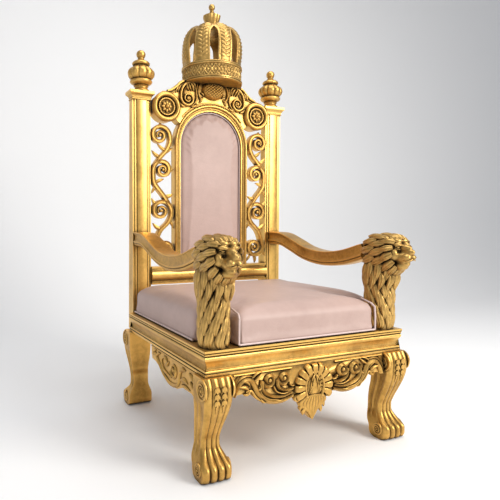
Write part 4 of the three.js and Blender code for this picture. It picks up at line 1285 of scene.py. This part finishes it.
def shell(work):
    """Scallop in the middle: hood with rounded lobes, two small volutes and a fluted tongue that hangs to a point."""
    centre = np.array((0.0, 247.0))
    for k, angle in enumerate(np.radians(np.linspace(-24, 204, 11))):
        out = np.array((math.cos(angle), math.sin(angle)))
        reach = 74 + 1.0 * abs(math.sin(angle))
        path = np.array(
            [
                [*(centre + out * r), h] for r,
                h in ((26, 4), (44, 11), (60, 14.5), (reach - 3, 11), (reach, 3))
            ]
        )
        work.blade(
            bend(path, 16),
            lambda t: 4.4 + 6.4 * np.sin(np.clip(0.1 + 0.74 * t, 0, 1) * math.pi / 1.55) ** 1.2,
            lambda t: 5.2 + 0 * t, grooves=1, groove=-1.2, across=11, back=11
        )
    hood = bend(
        [
            (-29, 212), (-37, 240), (-34, 268), (-20, 290), (0, 297), (20, 290), (34, 268), (37, 240),
            (29, 212)
        ],
        60
    )
    work.stem(hood, 6.2, shaped(ROUND, 15), back=-2, lift=1.5)
    core = bend(
        [
            (-26, 218), (-31, 240), (-28, 264), (-16, 282), (0, 287), (16, 282), (28, 264), (31, 240),
            (26, 218), (0, 205)
        ],
        52
    )[:-1]
    rings = []
    for s, h in ((1, 2), (0.96, 7), (0.8, 11.5), (0.5, 14), (0.2, 14.5)):
        rings.append(np.column_stack([core[:, 0] * s, 250 + (core[:, 1] - 250) * s, np.full(len(core), h)]))
    work.skin([np.column_stack([core, np.full(len(core), -8.0)]), *rings])
    for side in (1, -1):
        for s, (bx, bz) in ((1.0, (13, 276)), (0.9, (18, 262)), (0.8, (20, 247))):
            path = np.array(
                [
                    [side * 3, 286, 13.0], [side * bx * 0.7, bz + 4, 16.0], [side * bx, bz - 14, 15.5],
                    [side * bx * 0.9, 226, 11.0]
                ]
            )
            work.blade(
                bend(path, 20), lambda t,
                w=s: 4.2 * w * np.sin(np.clip(0.15 + 0.8 * t, 0, 1) * math.pi) ** 0.6,
                lambda t: 3.6 + 0 * t, across=9, back=4
            )
        coil = volute(
            (side * 66, 217), 14.5, 180 if side > 0 else 0, 1.3, clockwise=side > 0, shrink=0.4, steps=34
        )
        run = np.vstack([coil, bend([coil[-1], (side * 44, 228), (side * 36, 238)], 12)[1:]])
        work.stem(run, 5, shaped(ROUND, 12), back=-4, lift=-3)
        work.ball((side * 66, 217, 3), (6.5, 6.5, 10), 18, 10)
    for k in range(9):
        x = -1 + k / 4
        start, tip = (x * 30, 222 - 4 * abs(x)), (x * 12, 133 + 30 * abs(x) ** 1.4)
        path = np.array(
            [
                [start[0], start[1], 10.5], [x * 47, 192 + 6 * abs(x), 8.0 - 3 * abs(x)],
                [x * 40, 168 + 14 * abs(x), 3.5 - 3 * abs(x)], [tip[0], tip[1], -1.5]
            ]
        )
        work.blade(
            bend(path, 24), lambda t: 1.2 + 7.4 * np.sin(np.clip(0.16 + 0.8 * t, 0, 1) * math.pi) ** 0.7,
            lambda t: 4.6 + 0 * t, grooves=1, groove=1.4, across=9, back=14
        )
    for side in (1, -1):
        for (sx, sz), (tx, tz) in (((40, 206), (56, 186)), ((38, 192), (50, 168)), ((30, 178), (38, 152))):
            path = np.array(
                [
                    [side * sx, sz, 2.0], [side * (sx + tx) / 2 * 1.05, (sz + tz) / 2, 1.0],
                    [side * tx, tz, -4.0]
                ]
            )
            work.blade(
                bend(path, 12), lambda t: 0.8 + 6 * np.sin(np.clip(0.25 + 0.7 * t, 0, 1) * math.pi),
                lambda t: 3.5 + 0 * t, across=7, back=12
            )
    work.board(
        [
            (-34, 240), (-46, 206), (-34, 172), (-12, 140), (0, 131), (12, 140), (34, 172), (46, 206),
            (34, 240)
        ],
        -24, -3
    )


def front_apron():
    half = Work()
    apron_side(half)
    work = half.take(half.mirrored())
    shell(work)
    fit = lambda p: np.column_stack(
        [
            np.clip(p[:, 0], -APRON_X, APRON_X), np.clip(p[:, 1], 129.4, APRON_TOP),
            np.clip(p[:, 2], APRON_BOARD - 30, APRON_BOARD - APRON_FRONT)
        ]
    )
    dress(
        to_object("front_apron_carved", work.changed(fit).changed(on_front(APRON_BOARD)), 50), GOLD,
        "front_apron"
    )


front_apron()

# ------------------------------------------------------------------ side aprons

SIDE_FACE = 394


def side_apron():
    outline = [
        (62, 322.5), (62, 239), (90, 229), (117, 239), (190, 237), (235, 219), (290, 212), (350, 225),
        (400, 251), (440, 263), (480, 267), (489.6, 296), (489.6, 322.5)
    ]
    work = Work().board(outline, -29, 0)
    work.stem(
        bend([(474, 288), (440, 294), (396, 262), (340, 232), (280, 221), (222, 240), (200, 290)], 60),
        lambda t: 3 + 5 * np.sin(np.clip(0.1 + 0.86 * t, 0, 1) * math.pi) ** 0.6, shaped(RIDGE, 7.6),
        back=-2
    )
    coil = volute((262, 278), 31, -20, 1.5, shrink=0.4, steps=54)
    work.stem(coil, lambda t: 3 + 4 * t, shaped(RIDGE, 7.6), back=-2)
    work.ball((262, 278, 1), (8, 8, 6.4), 20, 10)
    work.stem(
        bend([(352, 302), (374, 286), (358, 260), (316, 248), (280, 247)], 36),
        lambda t: 2.6 + 3 * np.sin(t * math.pi), shaped(ROUND, 7), back=-2
    )
    for start, middle, tip, width in [
        ((352, 302), (334, 300), (318, 290), 7),
        ((338, 276), (320, 282), (304, 296), 6.5),
        ((206, 288), (184, 300), (160, 302), 8),
        ((196, 262), (170, 268), (144, 262), 8),
        ((190, 246), (160, 248), (126, 246), 6),
        ((430, 284), (412, 300), (388, 306), 6.5),
        ((460, 290), (448, 304), (430, 312), 5.5),
        ((130, 300), (108, 292), (84, 276), 8),
        ((120, 276), (100, 262), (80, 256), 7),
    ]:
        leaf(work, start, middle, tip, width, 6.5, grooves=1, groove=1.6)
    work.stem(np.array([(70, 316), (482, 316)]), 3, shaped(ROUND, 4), back=-2)
    fit = lambda p: np.column_stack(
        [np.clip(p[:, 0], 62, 489.6), np.clip(p[:, 1], 211.6, 322.5), np.clip(p[:, 2], -29.6, 7.6)]
    )
    return work.changed(fit).changed(on_side(SIDE_FACE))


pair("side_apron", side_apron(), GOLD, 50)

# ------------------------------------------------------------------ lions

LION_AT, LION_Z = (348, 55), 403.3


def flame_lock():
    """One upright lock of the column: root at the origin, tip up, face along -Y."""
    path = bend([(0, 2, 0), (3, -3, 18), (-2, -5, 40), (-7, -1, 60), (-5, 4, 72)], 12)
    return Work().blade(
        path, lambda t: 15.5 * np.sin(np.clip(0.2 + 0.78 * t, 0, 1) * math.pi) ** 0.7 + 0.6,
        lambda t: 8 + 0 * t, grooves=3, groove=2.6, normal=(0, -1, 0), across=13, back=4
    )


def column_locks(name, rows=6, around=8, radius=44.0):
    """Rows of flame locks set round the column, every other row shifted by half a lock."""
    lock = to_object(name + "_lock", flame_lock().changed(lambda p: p - (0, ORIGIN_Y / MM, 0)), 60)
    places, turns = [], []
    for row in range(rows):
        for k in range(around):
            a = (k + 0.5 * (row % 2)) * 2 * math.pi / around
            z = LION_Z + 3 + row * 37
            places.append(
                (
                    (LION_AT[0] + radius * math.sin(a)) * MM,
                    (LION_AT[1] - radius * math.cos(a)) * MM + ORIGIN_Y, z * MM
                )
            )
            turns.append((0.0, 0.0, a))
    mesh = bpy.data.meshes.new(name)
    mesh.from_pydata(places, [], [])
    turn = mesh.attributes.new("turn", "FLOAT_VECTOR", "POINT")
    turn.data.foreach_set("vector", np.array(turns).ravel())
    column = bpy.data.objects.new(name, mesh)
    bpy.context.scene.collection.objects.link(column)
    tree = bpy.data.node_groups.new(name + "_rows", "GeometryNodeTree")
    tree.interface.new_socket("Geometry", in_out="INPUT", socket_type="NodeSocketGeometry")
    size = tree.interface.new_socket("Lock size", in_out="INPUT", socket_type="NodeSocketFloat")
    tree.interface.new_socket("Geometry", in_out="OUTPUT", socket_type="NodeSocketGeometry")
    new, link = tree.nodes.new, tree.links.new
    start, end = new("NodeGroupInput"), new("NodeGroupOutput")
    info, spread, named = new("GeometryNodeObjectInfo"), new("GeometryNodeInstanceOnPoints"), new(
        "GeometryNodeInputNamedAttribute"
    )
    named.data_type = "FLOAT_VECTOR"
    named.inputs["Name"].default_value = "turn"
    info.inputs["Object"].default_value = lock
    real, finish = new("GeometryNodeRealizeInstances"), new("GeometryNodeSetMaterial")
    finish.inputs["Material"].default_value = LION_GOLD
    link(start.outputs[0], spread.inputs["Points"])
    link(info.outputs["Geometry"], spread.inputs["Instance"])
    link(named.outputs["Attribute"], spread.inputs["Rotation"])
    link(start.outputs[1], spread.inputs["Scale"])
    link(spread.outputs[0], real.inputs[0])
    link(real.outputs[0], finish.inputs[0])
    link(finish.outputs[0], end.inputs[0])
    step = column.modifiers.new("rows", "NODES")
    step.node_group = tree
    step[size.identifier] = 1.0
    baked = bpy.data.meshes.new_from_object(column.evaluated_get(bpy.context.evaluated_depsgraph_get()))
    flat = np.empty(len(baked.vertices) * 3)
    baked.vertices.foreach_get("co", flat)
    work = Work()
    work.add(
        flat.reshape(-1, 3) / MM - (0, ORIGIN_Y / MM, 0) - (*LION_AT, LION_Z),
        [tuple(f.vertices) for f in baked.polygons]
    )
    for thing in (column, lock):
        bpy.data.objects.remove(thing)
    return work


def lion_face():
    """Smooth mask: skull, cheeks, brows, nose, muzzle, chin and eyes, grown into one skin."""
    w = Work()
    for centre, radii in [
        ((0, -52, 296), (46, 50, 50)), ((0, -34, 250), (44, 48, 46)), ((0, -108, 300), (16, 32, 17)),
        ((0, -128, 286), (13, 24, 14)),
        ((0, -141, 283), (12.5, 8, 7.5)), ((0, -104, 266), (30, 34, 22)), ((0, -112, 244), (17, 19, 11)),
        ((0, -98, 236), (24, 24, 16)),
    ]:
        w.ball(centre, radii, 24, 14)
    for s in (1, -1):
        for centre, radii in [
            ((s * 11.5, -127, 267), (15.5, 18, 13)), ((s * 32, -84, 276), (19, 22, 24)),
            ((s * 20, -93, 316), (19, 17, 9)),
            ((s * 22, -87, 296), (13, 14, 9)), ((s * 40, -66, 336), (13, 9, 15)),
            ((s * 14, -88, 330), (20, 18, 14)),
        ]:
            w.ball(centre, radii, 22, 12)
    face = melt(to_object("lion_mask", w.changed(lambda p: p - (0, ORIGIN_Y / MM, 0)), 80), 2.6, 5)
    points = np.empty(len(face.data.vertices) * 3)
    face.data.vertices.foreach_get("co", points)
    out = Work().add(points.reshape(-1, 3) / MM, [tuple(f.vertices) for f in face.data.polygons])
    bpy.data.objects.remove(face)
    for s in (1, -1):
        out.ball((s * 20, -99.5, 303), (7, 6, 5.4), 20, 12)
        out.blade(
            bend([(s * 9, -107, 309), (s * 19, -107, 312), (s * 31, -96, 307)], 10), lambda t: 2.6 + 0 * t,
            lambda t: 3 + 0 * t, normal=(0, -1, 0.2), across=7, back=3
        )
        out.blade(
            bend([(s * 11, -105, 299), (s * 20, -105, 295.5), (s * 30, -96, 300)], 10),
            lambda t: 1.8 + 0 * t, lambda t: 2.4 + 0 * t, normal=(0, -1, 0), across=7, back=3
        )
        out.blade(
            bend([(s * 2, -146, 262), (s * 14, -143, 257), (s * 26, -124, 262)], 10), lambda t: 1.7 + 0 * t,
            lambda t: 2 + 0 * t, normal=(0, -1, -0.3), across=7, back=3
        )
        for k in range(3):
            z = 272 - k * 5
            out.ball((s * (17 + k % 2 * 4), -142 + k, z), (1.5, 1.5, 1.5), 8, 6)
    return out


def mane_lock(work, start, middle, tip, width, centre, height=12, grooves=3):
    path = bend([start, middle, tip], 16)
    spots = [path[min(15, int(round(t * 15)))] - centre for t in np.linspace(0, 1, 16)]
    lean = lambda t: spots[min(15, int(round(t * 15)))] / (
        np.linalg.norm(spots[min(15, int(round(t * 15)))]) + 1e-9
    )
    work.blade(
        path, lambda t: width * np.sin(np.clip(0.2 + 0.77 * t, 0, 1) * math.pi) ** 0.7 + 0.7,
        lambda t: height + 0 * t, grooves=grooves, groove=2.8, normal=lean, across=13, back=7
    )


def lion():
    work = lion_face()
    heart = np.array((0, -30, 285.0))
    work.ball((0, 0, 276), (55, 52, 60), 30, 16)
    work.skin(
        [
            np.column_stack([45 * np.cos(a) * s, 45 * np.sin(a) * s, np.full(28, z)])
            for a in [np.linspace(0, 2 * math.pi, 28, endpoint=False)] for s,
            z in ((1, 0.2), (1, 60), (1, 150), (1.06, 220), (1, 262))
        ]
    )
    rings = [
        (13, 0.5, (-93, 46, 49), (-74, 60, 61), (-44, 61, 63), 13.5),
        (13, 0.0, (-62, 56, 60), (-32, 64, 67), (-4, 61, 64), 15),
        (12, 0.5, (-22, 58, 62), (8, 64, 66), (34, 54, 58), 16),
        (9, 0.0, (14, 48, 52), (38, 44, 50), (50, 26, 30), 16)
    ]
    for count, shift, (y0, a0, b0), (y1, a1, b1), (y2, a2, b2), width in rings:
        for k in range(count):
            q = (k + shift) * 2 * math.pi / count + math.pi / 2
            twist = 0.16 * math.cos(q)
            low = max(0.0, -math.sin(q))
            at = lambda y, a, b, turn, drop: np.array(
                (a * math.cos(q - turn), y, 286 + b * math.sin(q - turn) - drop * low)
            )
            mane_lock(
                work, at(y0, a0, b0, 0, 4), at(y1, a1, b1, twist, 12), at(y2, a2, b2, 2 * twist, 32), width,
                heart
            )
    for k in range(5):
        q = math.radians(54 + 18 * k)
        mane_lock(
            work, np.array((40 * math.cos(q), -97, 286 + 48 * math.sin(q))),
            np.array((47 * math.cos(q), -80, 291 + 58 * math.sin(q))),
            np.array((46 * math.cos(q), -54, 290 + 62 * math.sin(q))), 12, heart, height=10
        )
    for count, z0, z1, r0, r1, width in [(11, 250, 176, 50, 50, 15), (11, 222, 150, 48, 47, 14)]:
        for k in range(count):
            a = (k + 0.5 * (z0 < 240)) * 2 * math.pi / count
            out = np.array((math.sin(a), -math.cos(a), 0))
            side = np.array((math.cos(a), math.sin(a), 0)) * (1 if math.sin(a) > 0 else -1)
            mane_lock(
                work, out * r0 + (0, -14 if z0 > 240 else -5, z0),
                out * (r0 + 9) - side * 5 + (0, -6, (z0 + z1) / 2), out * r1 + side * 4 + (0, -2, z1),
                width, np.array((0, 0, (z0 + z1) / 2))
            )
    work.take(column_locks("lion_column", rows=5))
    squeeze = lambda v, start, limit: np.where(
        v > start, start + (v - start) * min(1.0, (limit - start) / (v.max() - start)), v
    )
    fit = lambda p: np.column_stack(
        [
            squeeze(np.abs(p[:, 0]), 30, 67.6) * np.sign(p[:, 0]), np.clip(p[:, 1], -151.6, 59.2),
            np.maximum(squeeze(p[:, 2], 290, 353.6), 0.1)
        ]
    )
    return work.changed(fit).changed(lambda p: p + (*LION_AT, LION_Z))


pair("lion", lion(), LION_GOLD, 60)

# ------------------------------------------------------------------ cushion, back pad and plain parts


def upholstered(name, node, voxel, pressure, cap, hold, swell):
    """Grows the solid's form into one soft skin and lets it swell over its filling."""
    source = bpy.data.objects[node]
    piece = bpy.data.objects.new(name, source.data.copy())
    bpy.context.scene.collection.objects.link(piece)
    body = bmesh.new()
    body.from_mesh(piece.data)
    bmesh.ops.remove_doubles(body, verts=body.verts, dist=1e-5)
    body.to_mesh(piece.data)
    body.free()
    melt(piece, voxel, 6, 0.5)
    rest = read_points(piece)
    pins = piece.vertex_groups.new(name="held")
    pins.add([int(i) for i in np.nonzero(hold(rest))[0]], 1.0, "REPLACE")
    cloth = piece.modifiers.new("filling", "CLOTH")
    cloth.settings.use_pressure, cloth.settings.uniform_pressure_force = True, pressure
    cloth.settings.effector_weights.gravity = 0
    cloth.settings.vertex_group_mass = "held"
    cloth.settings.quality, cloth.point_cache.frame_start, cloth.point_cache.frame_end = 4, 1, 20
    cloth.collision_settings.use_collision = False
    for frame_number in range(1, 21):
        bpy.context.scene.frame_set(frame_number)
    apply_modifiers(piece)
    shift = read_points(piece) - rest
    size = np.linalg.norm(shift, axis=1)[:, None]
    write_points(piece, rest + shift * np.minimum(1, cap / np.maximum(size, 1e-6)))
    bpy.context.scene.frame_set(1)
    write_points(piece, swell(read_points(piece)))
    soft = piece.modifiers.new("round", "SUBSURF")
    soft.levels = soft.render_levels = 1
    apply_modifiers(piece)
    for face in piece.data.polygons:
        face.use_smooth = True
    return piece


NOTCH_X, NOTCH_Y, PAD_HALF, PIPING_Z = 284, 124, ARCH_IN - 0.3, 410


def seat_cushion():
    (x0, y0, z0), (x1, y1, z1) = [np.array(c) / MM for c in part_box("seat_cushion")]
    hold = lambda p: p[:, 2] < z0 + 12

    def swell(p):
        q = p.copy()
        tuck = 1.0 * np.exp(-(((p[:, 2] - z0) / 14) ** 2))
        q[:, 0] -= np.sign(p[:, 0]) * tuck * (np.abs(p[:, 0]) > 250)
        for s in (1, -1):
            d = np.hypot(p[:, 0] - s * NOTCH_X, p[:, 1] - NOTCH_Y)
            a = np.arctan2(p[:, 1] - NOTCH_Y, s * p[:, 0] - NOTCH_X)
            q[:, 2] += (p[:, 2] > 485) * (
                -3.2 * np.exp(-((d / 60) ** 2)) + 2.0 * np.sin(a * 11) * np.exp(-(((d - 26) / 20) ** 2))
            )
        return np.clip(q, (x0, y0 - ORIGIN_Y / MM - 1.5, z0), (x1, y1 - ORIGIN_Y / MM, z1 + 4))

    piece = upholstered("seat_cushion_leather", "seat_cushion", 9, 3.5, 7, hold, swell)
    dress(piece, LEATHER, "seat_cushion", slot="blush")


def back_pad():
    (x0, y0, z0), (x1, y1, z1) = [np.array(c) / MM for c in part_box("back_pad")]
    y0, y1 = y0 - ORIGIN_Y / MM, y1 - ORIGIN_Y / MM
    hold = lambda p: p[:, 1] > y1 - 12

    def swell(p):
        q = p.copy()
        a = np.arctan2(p[:, 2] - ARCH_SPRING, p[:, 0])
        d = PAD_HALF - np.hypot(p[:, 0], np.maximum(p[:, 2] - ARCH_SPRING, 0))
        front = p[:, 1] < (y0 + y1) / 2
        q[:, 1] += front * (
            1.6 * np.sin(a * 26) * np.exp(-(((d - 9) / 10) ** 2)) * (p[:, 2] > 1200)
            + 4.5 * np.exp(-((d / 9) ** 2))
        )
        return np.clip(q, (x0, y0 - 3, z0), (x1, y1, z1))

    piece = upholstered("back_pad_leather", "back_pad", 6, 3.0, 6, hold, swell)
    dress(piece, LEATHER, "back_pad", slot="blush")


seat_cushion()
back_pad()


def welt(name, paths, radius=3.4):
    """Sewn cord of the same leather, run along the seams, in lightened colours as a painted highlight."""
    work = Work()
    for path in paths:
        path = even(np.array(path, float), 90)
        along = np.gradient(path, axis=0)
        along /= np.linalg.norm(along, axis=1)[:, None]
        side = np.cross(along, (0.31, 0.2, 0.93))
        side /= np.linalg.norm(side, axis=1)[:, None]
        up = np.cross(side, along)
        a = np.linspace(0, 2 * math.pi, 12, endpoint=False)
        work.skin(
            [
                p + np.outer(np.cos(a), s) * radius + np.outer(np.sin(a), u) * radius for p, s,
                u in zip(path, side, up)
            ]
        )
    piece = to_object(name, work, 80)
    piece.data.materials.append(PIPING_PAINTED_HIGHLIGHT)
    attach(piece, "root")
    return piece


welt(
    "seat_cushion_front_piping",
    [[(-280, 8.5, PIPING_Z), (280, 8.5, PIPING_Z)]]
    + [
        [
            (s * 281.5, 9.5, PIPING_Z), (s * 281.5, 9, 455), (s * 280, 11, 492), (s * 276, 24, 503),
            (s * 274, 70, 514)
        ] for s in (1, -1)
    ]
)
welt(
    "seat_cushion_side_piping", [[(s * 384.5, 130, PIPING_Z), (s * 384.5, 722, PIPING_Z)] for s in (1, -1)]
)
arch_edge = [(x, 752, z) for x, z in arch_line(153.5, 605, 80).tolist()]
welt("back_pad_piping", [arch_edge], 2.6)

for node, finish, slot in (
    ("rear_panel", PLAIN_GOLD, "plain_gold"), ("rear_seat_rail", PLAIN_GOLD, "plain_gold"),
    ("seat_board", BOARD, "board")
):
    bpy.data.objects[node].data.materials.clear()
    bpy.data.objects[node].data.materials.append(finish)

# ------------------------------------------------------------------ floor, light and camera


def studio():
    size = 9.0
    curve = [(-size, 0.0), (1.6, 0.0)]
    bend_line = [
        (1.6 + 1.4 * math.sin(a), 1.4 - 1.4 * math.cos(a)) for a in np.linspace(0, math.pi / 2, 16)[1:]
    ]
    line = curve + bend_line + [(3.0, 6.0)]
    points = [(x, y, z) for y, z in line for x in (-size, size)]
    faces = [(2 * i, 2 * i + 1, 2 * i + 3, 2 * i + 2) for i in range(len(line) - 1)]
    mesh = bpy.data.meshes.new("studio_floor")
    mesh.from_pydata(points, [], faces)
    floor = bpy.data.objects.new("studio_floor", mesh)
    bpy.context.scene.collection.objects.link(floor)
    for face in mesh.polygons:
        face.use_smooth = True
    paper = Finish("studio_paper")
    mesh.materials.append(paper.set(Base_Color=(0.97, 0.97, 0.97), Roughness=0.9))
    world = bpy.data.worlds.new("studio_air")
    world.use_nodes = True
    world.node_tree.nodes["Background"].inputs["Color"].default_value = (0.93, 0.95, 1.0, 1.0)
    world.node_tree.nodes["Background"].inputs["Strength"].default_value = 0.40
    bpy.context.scene.world = world

    def lamp(name, place, target, size, power, tint=(1, 1, 1)):
        data = bpy.data.lights.new(name, "AREA")
        data.shape, data.size, data.size_y = "RECTANGLE", size[0], size[1]
        data.energy, data.color = power, tint
        light = bpy.data.objects.new(name, data)
        light.location = place
        light.rotation_euler = (Vector(target) - Vector(place)).to_track_quat("-Z", "Y").to_euler()
        bpy.context.scene.collection.objects.link(light)

    lamp("key_softbox", (1.9, -3.0, 2.3), (0, 0, 0.9), (1.6, 2.2), 118, (1.0, 0.97, 0.92))
    lamp("fill_softbox", (-2.8, -2.2, 1.8), (0, 0, 0.8), (1.2, 2.0), 10)
    lamp("top_softbox", (0.2, -0.4, 3.6), (0, 0, 1.0), (2.4, 2.4), 52)


def camera():
    data = bpy.data.cameras.new("camera")
    data.sensor_width, data.lens = 36.0, 34.737
    data.shift_x, data.shift_y = 0.1204, 0.0
    view = bpy.data.objects.new("camera", data)
    eye = np.array((-1039.77, -1272.62, 772.65)) * MM + (0, ORIGIN_Y, 0)
    yaw, pitch = math.radians(-24.71), math.radians(-2.6)
    view.location = eye
    view.rotation_euler = (math.pi / 2 + pitch, 0, yaw)
    bpy.context.scene.collection.objects.link(view)
    bpy.context.scene.camera = view


studio()
camera()
bpy.context.scene.view_settings.view_transform = "Standard"
